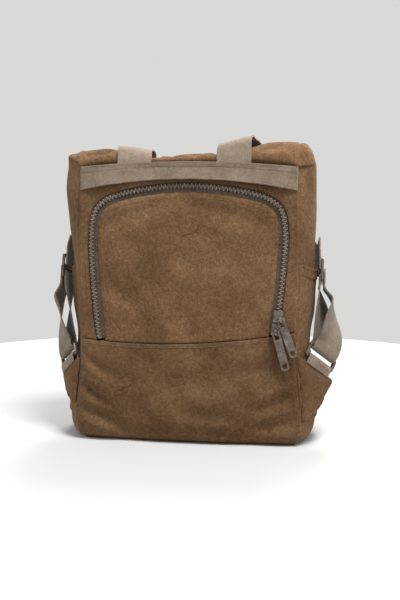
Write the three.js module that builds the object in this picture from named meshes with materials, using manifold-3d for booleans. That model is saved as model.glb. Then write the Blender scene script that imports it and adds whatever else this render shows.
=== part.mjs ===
// Anti theft backpack of brown suede cloth with taupe webbing straps, standing on its base.
// Millimetres, +Z up, front towards -Y, origin on the floor under the middle of the base.
import * as THREE from "three";
import * as BufferGeometryUtils from "three/addons/utils/BufferGeometryUtils.js";
import Module from "manifold-3d";

const wasm = await Module();
wasm.setup();

// Driving dimensions of the body
const wallHeight = 310;
const frontWidth = 245;
const bodyWidth = 281;
const bodyDepth = 103;
const wall = 2.2;
const backWall = 5;
const baseThickness = 2.4;
const topRise = 24;
const frontCrown = 6;
const gap = 0.3;

// Front panels, zip and band
const seamHeight = 115;
const archHalfWidth = 0.443 * frontWidth;
const archHeight = wallHeight - 20;
const chainWidth = 5.6;
const chainHeight = 3;
const tapeThickness = 1;
const tapeRecess = 1.6;
const frameEase = 1;
const bandWidth = 26;
const bandThickness = 1.6;

// Side pockets, wings and strap hardware
const pocketHeight = 0.671 * wallHeight;
const pocketFall = 12;
const pocketWall = 1.8;
const pocketStandOff = 1.8;
const pocketInset = 8;
const pocketFoot = 26;
const wingThickness = 3.6;
const strapWidth = 38;
const strapThickness = 1.6;
const strapEase = 1.2;
const ringWire = 3.4;
const ringHeight = 17;
const ringCorner = 4.6;
const slideFrame = 3.6;
const slideHeight = 27;
const slideThickness = 2.4;
const slideEase = 3.6;
const sliderTop = 3;
const sliderLength = 13;
const sliderWidth = 10.6;
const pullWidth = 9.2;
const pullThickness = 2;
const pullLength = 45;

const halfFront = frontWidth / 2;
const halfBody = bodyWidth / 2;
const halfDepth = bodyDepth / 2;

// Sections of the body from the base up. Columns: height as a share of the wall's, the front
// seam and the side's widest place as shares of their half widths, the front seam and the back
// seam as shares of half the depth, the front's belly as a share of half the depth, and the left
// side's extra fullness as a share of half the body's width.
const sectionRows = [
  [0.0, 0.975, 0.925, 0.86, 0.84, 0.08, 0.015],
  [0.016, 1.02, 0.98, 0.95, 0.93, 0.1, 0.02],
  [0.05, 1.048, 1.012, 1.0, 1.0, 0.13, 0.02],
  [0.11, 1.05, 1.018, 1.02, 1.0, 0.14, 0.015],
  [0.21, 1.02, 1.0, 1.02, 0.99, 0.15, 0],
  [0.3, 0.996, 0.972, 1.01, 0.97, 0.15, 0],
  [0.38, 0.98, 0.95, 1.0, 0.96, 0.14, 0],
  [0.49, 0.992, 0.975, 0.98, 0.93, 0.14, 0],
  [0.61, 1.0, 0.985, 0.95, 0.9, 0.12, -0.004],
  [0.68, 1.0, 0.994, 0.93, 0.88, 0.1, -0.002],
  [0.8, 1.003, 1.004, 0.89, 0.84, 0.07, 0.024],
  [0.92, 1.0, 1.006, 0.84, 0.8, 0.02, 0.044],
  [1.0, 0.994, 0.996, 0.79, 0.77, -0.06, 0.04],
];

// Crest of the soft top from left to right, with the dip where the straps press it down.
// Columns: place as a share of half the width, height over the walls as a share of the rise.
const crestRows = [
  [-1.0, 0.56],
  [-0.97, 0.64],
  [-0.9, 0.7],
  [-0.8, 0.74],
  [-0.62, 0.76],
  [-0.45, 0.5],
  [-0.3, 0.36],
  [0.0, 0.4],
  [0.25, 0.56],
  [0.5, 0.86],
  [0.72, 0.98],
  [0.88, 0.98],
  [0.94, 0.9],
  [0.97, 0.62],
  [1.0, 0.16],
];

// Left half of the zip's arch from its foot to the middle of its crown.
// Columns: half width as a share of the arch's, height as a share of the way from seam to crown.
const archRows = [
  [0.914, 0.0],
  [0.955, 0.22],
  [0.99, 0.48],
  [1.0, 0.66],
  [0.965, 0.82],
  [0.86, 0.9],
  [0.68, 0.946],
  [0.36, 0.984],
  [0.0, 1.0],
];

const suede = new THREE.MeshStandardMaterial({ color: 0x84664b, roughness: 0.95, metalness: 0 });
const suedeDark = new THREE.MeshStandardMaterial({ color: 0x775b42, roughness: 0.95, metalness: 0 });
const webbing = new THREE.MeshStandardMaterial({ color: 0x968573, roughness: 0.85, metalness: 0 });
const tapeCloth = new THREE.MeshStandardMaterial({ color: 0x7d6b58, roughness: 0.9, metalness: 0 });
const teeth = new THREE.MeshStandardMaterial({ color: 0xa59482, roughness: 0.5, metalness: 0 });
const metal = new THREE.MeshStandardMaterial({ color: 0x8c7a6c, roughness: 0.35, metalness: 0.8 });

// A smooth curve through a table's rows: place in, the row's other columns out
function smoothTable(rows) {
  const places = rows.map((row) => row[0]);
  const values = rows.flatMap((row) => row.slice(1));
  const curve = new THREE.CubicInterpolant(places, values, rows[0].length - 1);
  return (place) => Array.from(curve.evaluate(place));
}

const sectionAt = smoothTable(sectionRows);
const crestAt = smoothTable(crestRows);

// Turns a closed geometry's faces outward
function facedOut(geometry) {
  const place = geometry.attributes.position;
  const index = geometry.index;
  const corners = [new THREE.Vector3(), new THREE.Vector3(), new THREE.Vector3()];
  let volume = 0;
  for (let i = 0; i < index.count; i += 3) {
    corners.forEach((corner, k) => corner.fromBufferAttribute(place, index.getX(i + k)));
    volume += corners[0].dot(corners[1].clone().cross(corners[2]));
  }
  if (volume < 0) {
    for (let i = 0; i < index.count; i += 3) {
      const second = index.getX(i + 1);
      index.setX(i + 1, index.getX(i + 2));
      index.setX(i + 2, second);
    }
  }
  geometry.deleteAttribute("uv");
  geometry.deleteAttribute("normal");
  geometry.computeVertexNormals();
  return geometry;
}

// A closed plate: a box whose grid of points is laid on a surface. pointAt gets the shares
// across and along the plate, and 1 on its outer side or 0 on its inner side. The inner side's
// squares are split along the same diagonal as the outer side's, which keeps the wall even.
function plate(columns, rows, pointAt) {
  const geometry = new THREE.BoxGeometry(1, 1, 1, columns, rows, 1);
  const place = geometry.attributes.position;
  for (let i = 0; i < place.count; i += 1) {
    const point = pointAt(place.getX(i) + 0.5, place.getY(i) + 0.5, place.getZ(i) + 0.5);
    place.setXYZ(i, point.x, point.y, point.z);
  }
  const index = geometry.index;
  const inner = geometry.groups[5];
  for (let i = inner.start; i < inner.start + inner.count; i += 6) {
    const [a, b, d] = [0, 1, 2].map((k) => index.getX(i + k));
    const c = index.getX(i + 4);
    [a, b, c, a, c, d].forEach((corner, k) => index.setX(i + k, corner));
  }
  return facedOut(geometry);
}

// Half widths, seams, belly and the left side's fullness of the body at a height
function section(z) {
  const [front, side, frontSeam, backSeam, belly, leftFull] = sectionAt(z / wallHeight);
  return {
    front: front * halfFront,
    side: side * halfBody,
    frontSeam: -frontSeam * halfDepth,
    backSeam: backSeam * halfDepth,
    belly: belly * halfDepth,
    leftFull: leftFull * halfBody,
  };
}

// Outer face of the front, with its belly and the shallow dents of soft cloth
function frontY(x, z) {
  const at = section(z);
  const across = Math.min(Math.abs(x) / at.front, 1);
  const dents = 0.8 * Math.sin(x / 31 + 0.6) * Math.sin(z / 37) * (1 - across * across);
  return at.frontSeam - at.belly * (1 - across ** 2.2) - dents;
}

function backY(x, z) {
  const at = section(z);
  const across = Math.min(Math.abs(x) / at.front, 1);
  return at.backSeam + 0.05 * halfDepth * (1 - across ** 2);
}

// How far a side stands out past the seams, at a share of the way from front to back
function sideBulge(share, at, hand) {
  const full = at.side - at.front + (hand < 0 ? at.leftFull : 0);
  return Math.sin(Math.PI * share) ** 0.9 * full;
}

// Outer face of a side: share 0 is at the front seam and share 1 at the back seam
function sidePoint(share, z, hand = 1) {
  const at = section(z);
  const start = at.frontSeam + wall + 2 * gap;
  const end = at.backSeam - backWall - 3 * gap;
  const x = at.front + sideBulge(share, at, hand);
  return new THREE.Vector3(x, THREE.MathUtils.lerp(start, end, share), z);
}

function seamZ(x) {
  return seamHeight + 0.00055 * (x + 45) ** 2;
}

function frontTop(x) {
  return wallHeight + frontCrown * (1 - (x / halfFront) ** 2);
}

// The zip's centre line on the front, from the left foot over the crown to the right foot
function archCurve() {
  const left = archRows.map(([across, up]) => {
    const x = -across * archHalfWidth;
    const foot = seamZ(x) + 2;
    return new THREE.Vector3(x, 0, foot + up * (archHeight - foot));
  });
  const right = archRows.slice(0, -1).reverse().map(([across, up]) => {
    const x = across * archHalfWidth;
    const foot = seamZ(x) + 2;
    return new THREE.Vector3(x, 0, foot + up * (archHeight - foot));
  });
  return new THREE.CatmullRomCurve3([...left, ...right], false, "centripetal");
}

const arch = archCurve();
const archColumns = 50;

// A point beside the arch, positive offsets outward, at a depth behind the front's face
function besideArch(share, offset, depth) {
  const at = arch.getPointAt(share);
  const along = arch.getTangentAt(share);
  const x = at.x - along.z * offset;
  const z = at.z + along.x * offset;
  return new THREE.Vector3(x, frontY(x, z) + depth, z);
}

// Share of the arch at which it has turned halfway round its corner
function cornerShare() {
  let share = 0.2;
  while (arch.getTangentAt(share).x < arch.getTangentAt(share).z) {
    share += 0.005;
  }
  return share;
}

const cornerAt = cornerShare();

// Frame of the front, between the zip and the seams: a strip from the arch to the edges
function frontFrame() {
  const legColumns = 14;
  const topColumns = 20;
  const columns = 2 * legColumns + topColumns;
  return plate(columns, 2, (u, v, side) => {
    const step = Math.round(u * columns);
    let share = 1 - (cornerAt * (columns - step)) / legColumns;
    let x = halfFront;
    let z = 0;
    if (step <= legColumns) {
      share = (cornerAt * step) / legColumns;
      z = THREE.MathUtils.lerp(seamZ(-halfFront) + gap, wallHeight, step / legColumns);
      x = -section(z).front;
    } else if (step <= legColumns + topColumns) {
      const across = (step - legColumns) / topColumns;
      share = THREE.MathUtils.lerp(cornerAt, 1 - cornerAt, across);
      x = THREE.MathUtils.lerp(-1, 1, across) * section(wallHeight).front;
      z = frontTop(x) - frontTop(section(wallHeight).front) + wallHeight;
    } else {
      const down = (columns - step) / legColumns;
      z = THREE.MathUtils.lerp(seamZ(halfFront) + gap, wallHeight, down);
      x = section(z).front;
    }
    const inner = besideArch(share, chainWidth / 2 + frameEase, 0);
    if (step === 0 || step === columns) {
      inner.z = seamZ(inner.x) + gap;
    }
    const px = THREE.MathUtils.lerp(inner.x, x, v);
    const pz = THREE.MathUtils.lerp(inner.z, z, v);
    return new THREE.Vector3(px, frontY(px, pz) + (1 - side) * wall, pz);
  });
}

// The door ends inside the zip's tape: its outline runs beside the arch
const doorInset = chainWidth / 2 + 4.2;
const doorSteps = 80;
const doorOutline = Array.from({ length: doorSteps + 1 }, (_, i) => {
  return besideArch(i / doorSteps, -doorInset, 0);
});
const doorCorner = 0.2;
const legTop = doorOutline[Math.round(doorCorner * doorSteps)].z;

// The door's edge on one leg of the arch at a height: hand -1 is the left leg
function doorEdgeX(hand, z) {
  const leg = doorOutline.filter((point) => point.x * hand > 0);
  if (hand > 0) {
    leg.reverse();
  }
  const above = Math.max(leg.findIndex((point) => point.z > z), 1);
  const share = (z - leg[above - 1].z) / (leg[above].z - leg[above - 1].z);
  return THREE.MathUtils.lerp(leg[above - 1].x, leg[above].x, THREE.MathUtils.clamp(share, 0, 1));
}

// The door: columns from the seam up to the arch, the outer ones following the arch's legs
function frontDoor() {
  const columns = 24;
  return plate(columns, 9, (u, v, side) => {
    const place = THREE.MathUtils.lerp(doorCorner, 1 - doorCorner, u);
    const top = doorOutline[Math.round(place * doorSteps)];
    const footX = THREE.MathUtils.lerp(doorOutline[0].x, doorOutline.at(-1).x, u);
    const z = THREE.MathUtils.lerp(seamZ(footX) + gap, top.z, v);
    const outward = 2 * u - 1;
    const hand = outward < 0 ? -1 : 1;
    const foot = hand < 0 ? doorOutline[0] : doorOutline.at(-1);
    const legEnd = doorOutline[Math.round((hand < 0 ? doorCorner : 1 - doorCorner) * doorSteps)];
    const legZ = THREE.MathUtils.lerp(foot.z, legTop, v);
    const bend = doorEdgeX(hand, legZ) - THREE.MathUtils.lerp(foot.x, legEnd.x, v);
    const x = THREE.MathUtils.lerp(footX, top.x, v) + bend * Math.abs(outward) ** 3;
    return new THREE.Vector3(x, frontY(x, z) + (1 - side) * wall, z);
  });
}

function frontLower() {
  const columns = 24;
  const rows = 9;
  const low = baseThickness + gap;
  return plate(columns, rows, (u, v, side) => {
    const across = 2 * u - 1;
    const rise = v ** 1.5;
    const guess = THREE.MathUtils.lerp(low, seamHeight, rise);
    const x = across * section(guess).front;
    const z = THREE.MathUtils.lerp(low, seamZ(x) - gap, rise);
    return new THREE.Vector3(x, frontY(x, z) + (1 - side) * wall, z);
  });
}

function zipTape() {
  return plate(archColumns, 1, (u, v, side) => {
    const offset = THREE.MathUtils.lerp(-doorInset + 2 * gap, chainWidth / 2, v);
    const depth = side ? tapeRecess : tapeRecess + tapeThickness;
    return besideArch(u, offset, depth);
  });
}

function zipChain() {
  return plate(archColumns, 1, (u, v, side) => {
    const offset = THREE.MathUtils.lerp(-chainWidth / 2, chainWidth / 2, v);
    const depth = side ? tapeRecess - gap - chainHeight : tapeRecess - gap;
    return besideArch(u, offset, depth);
  });
}

// The webbing band across the front's top edge: its middle bows up and stands off the straps
function bandTop(x) {
  return frontTop(x) + 0.6;
}

function topBand() {
  return plate(24, 2, (u, v, side) => {
    const x = (2 * u - 1) * section(wallHeight).front;
    const crown = 1 - (x / halfFront) ** 2;
    const height = bandWidth - 7 * crown;
    const z = bandTop(x) - (1 - v) * height;
    const room = strapThickness + strapEase + 2 * gap;
    const standOff = gap + room * THREE.MathUtils.smoothstep(crown, 0.05, 0.4);
    const lean = 1.5 * (1 - v) * crown;
    return new THREE.Vector3(x, frontY(x, Math.min(z, frontTop(x))) - standOff - lean
      - side * bandThickness, z);
  });
}

// The soft top's columns stand closer together towards its rounded ends
const topSpread = 0.86;

// How full the pillow is at a share of the way from its front edge to its back edge
function hump(share) {
  return (4 * share * (1 - share)) ** 0.42;
}

// The soft top: a pillow from the front's edge over the crest to the back's edge
function topPanel() {
  const low = wallHeight + gap;
  return plate(28, 7, (u, v, side) => {
    const at = section(wallHeight);
    const across = Math.sin((u - 0.5) * Math.PI * topSpread) / Math.sin(0.5 * Math.PI * topSpread);
    const x = across * (at.front + sideBulge(v, at, Math.sign(across)));
    const y = THREE.MathUtils.lerp(frontY(x, wallHeight), backY(x, wallHeight), v);
    const [rise] = crestAt(across);
    const edge = low + (frontTop(Math.min(Math.abs(x), halfFront)) - wallHeight) * (1 - v) ** 2;
    const z = edge + wall + (rise * topRise - wall) * hump(v);
    return new THREE.Vector3(x, y, side ? z : z - wall);
  });
}

function backPanel() {
  const low = baseThickness + gap;
  return plate(10, 12, (u, v, side) => {
    const z = THREE.MathUtils.lerp(low, wallHeight, v ** 1.4);
    const x = (2 * u - 1) * section(z).front;
    return new THREE.Vector3(x, backY(x, z) - (1 - side) * backWall, z);
  });
}

// A side, up to the end of the soft top
function gusset(hand) {
  const low = baseThickness + gap;
  const rise = Math.max(crestAt(hand)[0] * topRise - wall, 0);
  return plate(8, 16, (u, v, side) => {
    const z = THREE.MathUtils.lerp(low, wallHeight + rise * hump(u), v ** 1.3);
    const point = sidePoint(u, Math.min(z, wallHeight), hand);
    point.z = z;
    return new THREE.Vector3(hand * (point.x - (1 - side) * wall), point.y, z);
  });
}

// A slip pocket on the side: its mouth falls from the front seam and stands off the side
function sidePocket(hand, frontInset) {
  return plate(8, 10, (u, v, side) => {
    const share = THREE.MathUtils.lerp(frontInset / bodyDepth, 1 - pocketInset / bodyDepth, u);
    const mouth = pocketHeight - pocketFall * Math.sin(Math.PI * Math.min(share, 0.5)) ** 0.8;
    const z = THREE.MathUtils.lerp(pocketFoot, mouth, v);
    const point = sidePoint(share, z, hand);
    const off = 3 * gap + pocketStandOff * Math.sin(Math.PI * u) * v ** 3;
    return new THREE.Vector3(hand * (point.x + off + side * pocketWall), point.y, z);
  });
}

// The base: a flat plate with the outline of the walls' lower edges
function basePanel() {
  const at = section(0);
  const steps = 8;
  const shares = Array.from({ length: steps + 1 }, (_, i) => i / steps);
  const [left, right] = [-1, 1].map((hand) => shares.map((share) => {
    const y = THREE.MathUtils.lerp(at.frontSeam, at.backSeam, share);
    return new THREE.Vector2(hand * sidePoint(share, 0, hand).x, y);
  }));
  const [front, back] = [frontY, backY].map((face) => shares.slice(1, -1).map((share) => {
    const x = THREE.MathUtils.lerp(-at.front, at.front, share);
    return new THREE.Vector2(x, face(x, 0));
  }));
  const outline = new THREE.Shape([...right, ...back.reverse(), ...left.reverse(), ...front]);
  return new THREE.ExtrudeGeometry(outline, { depth: baseThickness, bevelEnabled: false });
}

// A flat strap along a curve. Rows: centre of the strap, and the way its outer face looks.
function ribbon(rows, stepsPerRow) {
  const centres = new THREE.CatmullRomCurve3(rows.map((row) => row[0]), false, "centripetal");
  const faces = new THREE.CatmullRomCurve3(rows.map((row) => row[1]), false, "centripetal");
  return plate(1, stepsPerRow * (rows.length - 1), (u, v, side) => {
    const at = centres.getPoint(v);
    const along = centres.getTangent(v);
    const out = faces.getPoint(v);
    out.addScaledVector(along, -out.dot(along)).normalize();
    const across = new THREE.Vector3().crossVectors(out, along);
    at.addScaledVector(across, (u - 0.5) * strapWidth);
    return at.addScaledVector(out, (side - 0.5) * strapThickness);
  });
}

// Where a wing leaves the front seam and where its outer corner is. Columns: heights of its upper
// and lower root as shares of the wall's, and the corner's reach past half the body's width, its
// place as a share of half the depth and its height as a share of the wall's, and how far the
// root stands off the seam.
const wingRows = {
  left: [0.312, 0.13, 13, -0.3, 0.222, 4],
  right: [0.345, 0.085, 23, -0.28, 0.226, 2.7],
};
const wingShare = 0.52;

// Places and directions that the wing, ring and loop of one side share, as for the right hand
function sideHardware([topShare, lowShare, reach, back, tipShare, off]) {
  const [rootTop, rootLow] = [topShare, lowShare].map((share) => {
    const at = section(share * wallHeight);
    return new THREE.Vector3(at.front + off, at.frontSeam + 1.5, share * wallHeight);
  });
  const tip = new THREE.Vector3(halfBody + reach, back * halfDepth, tipShare * wallHeight);
  const along = tip.clone().sub(rootTop).normalize();
  const outward = new THREE.Vector3().crossVectors(rootLow.clone().sub(rootTop), along).normalize();
  const up = new THREE.Vector3().crossVectors(outward, along).normalize();
  const middle = rootTop.clone().lerp(tip, wingShare);
  const centre = middle.clone().addScaledVector(up, tabReach + ringHeight / 2);
  return { rootTop, rootLow, tip, along, up, outward, centre };
}

const ringLength = strapWidth + 2 * ringWire + 3;
const tabInner = ringWire / Math.SQRT2 + gap;
const tabOuter = tabInner + strapThickness;
const tabHem = 1.2;
const tabReach = tabOuter + tabHem + gap - ringWire / 2;
const hardware = { left: sideHardware(wingRows.left), right: sideHardware(wingRows.right) };

// A geometry without the attributes that keep its corners apart, its shared corners merged
function mergedBare(geometry) {
  const bare = geometry.clone();
  bare.deleteAttribute("uv");
  bare.deleteAttribute("normal");
  return BufferGeometryUtils.mergeVertices(bare, 1e-4);
}

// Lays a geometry's own X, Y and Z along three directions at a place, mirrored for the left
function laid(geometry, xAxis, yAxis, zAxis, place, hand) {
  const basis = new THREE.Matrix4().makeBasis(xAxis, yAxis, zAxis).setPosition(place);
  geometry.applyMatrix4(basis);
  geometry.applyMatrix4(new THREE.Matrix4().makeScale(hand, 1, 1));
  return facedOut(mergedBare(geometry));
}

const wingCorner = 4;
const wingHeel = new THREE.Vector3(1, 0, -7);

function wing({ rootTop, rootLow, tip, along, up, outward }, hand) {
  const heel = rootLow.clone().lerp(tip, wingShare).add(wingHeel);
  const corners = [rootTop, tip, heel, rootLow].map((point) => {
    const from = point.clone().sub(rootTop);
    return new THREE.Vector2(from.dot(along), from.dot(up));
  });
  const outline = new THREE.Shape();
  corners.forEach((point, i) => {
    const before = corners[(i + 3) % 4].clone().sub(point).setLength(wingCorner).add(point);
    const after = corners[(i + 1) % 4].clone().sub(point).setLength(wingCorner).add(point);
    if (i === 0) {
      outline.moveTo(before.x, before.y);
    } else {
      outline.lineTo(before.x, before.y);
    }
    outline.quadraticCurveTo(point.x, point.y, after.x, after.y);
  });
  outline.closePath();
  const geometry = new THREE.ExtrudeGeometry(outline, {
    depth: wingThickness,
    bevelEnabled: false,
    curveSegments: 3,
  });
  geometry.translate(0, 0, -wingThickness / 2);
  return laid(geometry, along, up, outward, rootTop, hand);
}

function roundedFrame(length, height, round) {
  const shape = new THREE.Path();
  const x = length / 2 - round;
  const y = height / 2 - round;
  shape.absarc(x, y, round, 0, Math.PI / 2);
  shape.absarc(-x, y, round, Math.PI / 2, Math.PI);
  shape.absarc(-x, -y, round, Math.PI, 1.5 * Math.PI);
  shape.absarc(x, -y, round, 1.5 * Math.PI, 2 * Math.PI);
  return new THREE.Shape(shape.getPoints(3));
}

function ring({ along, up, outward, centre }, hand) {
  const outline = roundedFrame(ringLength, ringHeight, ringCorner);
  const inside = roundedFrame(ringLength - 2 * ringWire, ringHeight - 2 * ringWire, ringCorner - ringWire);
  outline.holes.push(inside);
  const geometry = new THREE.ExtrudeGeometry(outline, { depth: ringWire, bevelEnabled: false });
  geometry.translate(0, 0, -ringWire / 2);
  return laid(geometry, along, up, outward, centre, hand);
}

// Webbing rolled round the ring's lower bar and sewn to the wing's sloping edge
function ringTab({ along, up, outward, centre }, hand) {
  const profile = new THREE.Shape();
  profile.absarc(0, 0, tabOuter, 0, Math.PI);
  profile.lineTo(-strapThickness, -tabOuter - tabHem);
  profile.lineTo(strapThickness, -tabOuter - tabHem);
  profile.closePath();
  const hole = new THREE.Path();
  hole.absarc(0, 0, tabInner, 0, 2 * Math.PI);
  profile.holes.push(hole);
  const geometry = new THREE.ExtrudeGeometry(profile, {
    depth: strapWidth,
    bevelEnabled: false,
    curveSegments: 8,
  });
  geometry.translate(0, 0, -strapWidth / 2);
  const bar = centre.clone().addScaledVector(up, -(ringHeight - ringWire) / 2);
  return laid(geometry, outward.clone().negate(), up, along, bar, hand);
}

// The slide lies on the side, a little behind its middle, and leans back along the strap
const slideShare = 0.52;
const slideReach = 0.2;
const slideHeightShare = 0.622;
const slideLean = THREE.MathUtils.degToRad(16);
const slideZ = slideHeightShare * wallHeight;
const slideSeat = sidePoint(slideShare, slideZ);
const slideChord = sidePoint(slideShare + slideReach, slideZ).sub(sidePoint(slideShare - slideReach, slideZ));
const slideOut = new THREE.Vector3(slideChord.y, -slideChord.x, 0).normalize();
const slideUp = new THREE.Vector3(0, Math.sin(slideLean), Math.cos(slideLean));
slideUp.addScaledVector(slideOut, -slideUp.dot(slideOut)).normalize();
const slideAcross = new THREE.Vector3().crossVectors(slideUp, slideOut);
const slideLift = pocketWall + pocketStandOff + strapThickness + slideThickness / 2 + slideEase;
const slideCentre = slideSeat.clone().addScaledVector(slideOut, slideLift);

function slide(hand) {
  const length = strapWidth + 2 * slideFrame + 1;
  const outline = roundedFrame(length, slideHeight, 4);
  const slot = (slideHeight - 3 * slideFrame) / 2;
  [-1, 1].forEach((place) => {
    const hole = roundedFrame(length - 2 * slideFrame, slot, 1);
    const lift = (place * (slot + slideFrame)) / 2;
    outline.holes.push(new THREE.Path(hole.getPoints().map((point) => {
      return new THREE.Vector2(point.x, point.y + lift);
    })));
  });
  const geometry = new THREE.ExtrudeGeometry(outline, { depth: slideThickness, bevelEnabled: false });
  geometry.translate(0, 0, -slideThickness / 2);
  return laid(geometry, slideAcross, slideUp, slideOut, slideCentre, hand);
}

// A place and a direction of the right hand, mirrored where the hand is the left
function handed(rows, hand) {
  return rows.map((row) => row.map((point) => new THREE.Vector3(hand * point.x, point.y, point.z)));
}

// Steps off the slide's middle: away from the side, and up along the slide
function nearSlide(out, lift) {
  return slideCentre.clone().addScaledVector(slideOut, out).addScaledVector(slideUp, lift);
}

// The adjusting loop: from the slide's outer face down round the ring's upper bar and back up.
// Its free length bulges away from the side by loopBulge.
const loopBulge = 7;
const loopTurn = ringWire / Math.SQRT2 + 2 * gap + strapThickness / 2;
const faceOff = slideThickness / 2 + gap + strapThickness / 2;

function strapLoop({ along, up, outward, centre }, hand) {
  const bar = centre.clone().addScaledVector(up, (ringHeight - ringWire) / 2);
  const nearBar = (out, rise) => bar.clone().addScaledVector(outward, out).addScaledVector(up, rise);
  const inward = outward.clone().negate();
  const slideIn = slideOut.clone().negate();
  const half = slideOut.clone().add(outward).normalize();
  const wrap = [0, 45, 90, 135, 180].map((degrees) => {
    const angle = THREE.MathUtils.degToRad(degrees);
    const out = outward.clone().multiplyScalar(Math.cos(angle)).addScaledVector(up, -Math.sin(angle));
    return [bar.clone().addScaledVector(out, loopTurn), out];
  });
  const low = -slideHeight / 2;
  const start = nearSlide(faceOff + gap, low - gap);
  const end = nearBar(loopTurn, slideHeight / 2);
  const inStart = nearSlide(-faceOff - gap, low - gap);
  const inEnd = nearBar(-loopTurn, slideHeight / 2);
  const rows = [
    [nearSlide(faceOff + gap, 0), slideOut],
    [start, slideOut],
    [nearSlide(faceOff + 2 * gap, 1.5 * low), slideOut],
    [start.clone().lerp(end, 0.3).addScaledVector(slideOut, loopBulge), slideOut],
    [start.clone().lerp(end, 0.65).addScaledVector(half, 0.6 * loopBulge), half],
    [end, outward],
    ...wrap,
    [inEnd, inward],
    [inStart.clone().lerp(inEnd, 0.5), half.clone().negate()],
    [nearSlide(-faceOff - 2 * gap, 1.5 * low), slideIn],
    [inStart, slideIn],
    [nearSlide(-faceOff - gap, low / 2), slideIn],
  ];
  return ribbon(handed(rows, hand), 3);
}

// A shoulder strap: from under the band over the top, in an arch behind the back, round the
// back corner and under the slide. Columns of its free length: steps right of the root, behind
// the back, and below the walls' top, and the way the outer face looks.
const freeRows = [
  [12, 13, -6, 0, 0.8, 0.7],
  [18, 32, 28, -0.05, 1, 0.35],
  [30, 43, 62, 0.15, 1, 0],
  [52, 34, 90, 0.55, 0.85, -0.1],
];
const cornerRows = [
  [0.96, 13, 104, 0.8, 0.6, 0],
  [1.02, -12, 108, 1, 0.25, 0],
];

function shoulderStrap(hand, root, apex) {
  const face = gap + strapThickness / 2 + strapEase;
  const under = (z) => frontY(hand * root, z) - face;
  const top = frontTop(root);
  const rest = wallHeight + crestAt((hand * root) / halfBody)[0] * topRise;
  const behind = backY(0, wallHeight);
  const lean = -apex / strapWidth;
  const tuck = bandWidth / 2;
  const place = (x, y, z) => new THREE.Vector3(x, y, z);
  const rows = [
    [place(root, under(top - tuck), top - tuck), place(0, -1, 0)],
    [place(root, under(top - 1), top - 1), place(0, -1, 0.1)],
    [place(root, under(top) + 3.5, rest + 1 + 0.3 * apex), place(0.5 * lean, -1, 0.5)],
    [place(root + 1, under(top) + 11, rest + 6 + 0.6 * apex), place(lean, -0.4, 1)],
    [place(root + 3, -0.12 * halfDepth, rest + 7 + 0.4 * apex), place(0.7 * lean, 0, 1)],
    [place(root + 7, 0.62 * behind, rest + 5 + 0.2 * apex), place(0.3 * lean, 0.35, 1)],
    ...freeRows.map(([right, back, below, x, y, z]) => {
      return [place(root + right, behind + back, wallHeight - below), place(x, y, z)];
    }),
    ...cornerRows.map(([across, back, below, x, y, z]) => {
      return [place(across * halfBody, behind + back, wallHeight - below), place(x, y, z)];
    }),
    [nearSlide(-faceOff - 2 * gap, 0.8 * slideHeight), slideOut],
    [nearSlide(-faceOff - gap, slideHeight / 2), slideOut],
    [nearSlide(-faceOff - gap, 0), slideOut],
  ];
  return ribbon(handed(rows, hand), 3);
}

// Brings a geometry into a solid for joining, and back
function solidOf(geometry) {
  const merged = mergedBare(geometry);
  return new wasm.Manifold(new wasm.Mesh({
    numProp: 3,
    vertProperties: new Float32Array(merged.attributes.position.array),
    triVerts: new Uint32Array(merged.index.array),
  }));
}

function geometryOf(solid) {
  const mesh = solid.getMesh();
  const geometry = new THREE.BufferGeometry();
  geometry.setAttribute("position", new THREE.BufferAttribute(mesh.vertProperties, 3));
  geometry.setIndex(new THREE.BufferAttribute(mesh.triVerts, 1));
  geometry.computeVertexNormals();
  return geometry;
}

const pivotLift = 2.3;
const bowHole = 2.3;
const bowWire = 1.8;
const bowWidth = 3;
const barReach = 1.2;

// A zip slider in its own frame: Y up the chain, Z away from the front, its channel's top at 0.
// Its bow stands to the right of and below the middle, turned to the pull's lean.
function sliderGeometry(aside, below, turn) {
  const channel = chainWidth / 2 + 2 * gap;
  const flank = 0.6 * chainHeight;
  const profile = new THREE.Shape([
    new THREE.Vector2(-sliderWidth / 2, -flank),
    new THREE.Vector2(-channel, -flank),
    new THREE.Vector2(-channel, 0),
    new THREE.Vector2(channel, 0),
    new THREE.Vector2(channel, -flank),
    new THREE.Vector2(sliderWidth / 2, -flank),
    new THREE.Vector2(sliderWidth / 2, sliderTop * 0.55),
    new THREE.Vector2(sliderWidth * 0.4, sliderTop),
    new THREE.Vector2(-sliderWidth * 0.4, sliderTop),
    new THREE.Vector2(-sliderWidth / 2, sliderTop * 0.55),
  ]);
  const body = new THREE.ExtrudeGeometry(profile, { depth: sliderLength, bevelEnabled: false });
  body.rotateX(Math.PI / 2);
  body.translate(0, sliderLength / 2, 0);
  const sunk = -0.6;
  const bow = new THREE.Shape();
  bow.absarc(0, pivotLift, bowHole + bowWire, 0, Math.PI);
  bow.lineTo(-bowHole - bowWire, sunk);
  bow.lineTo(-bowHole, sunk);
  bow.absarc(0, pivotLift, bowHole, Math.PI, 0, true);
  bow.lineTo(bowHole, sunk);
  bow.lineTo(bowHole + bowWire, sunk);
  bow.closePath();
  const staple = new THREE.ExtrudeGeometry(bow, { depth: bowWidth, bevelEnabled: false, curveSegments: 8 });
  staple.translate(0, 0, -bowWidth / 2);
  staple.rotateY(Math.PI / 2);
  staple.rotateX(Math.PI / 2);
  staple.rotateZ(turn);
  staple.translate(aside, -below, sliderTop);
  return geometryOf(solidOf(body).add(solidOf(staple)));
}

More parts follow.
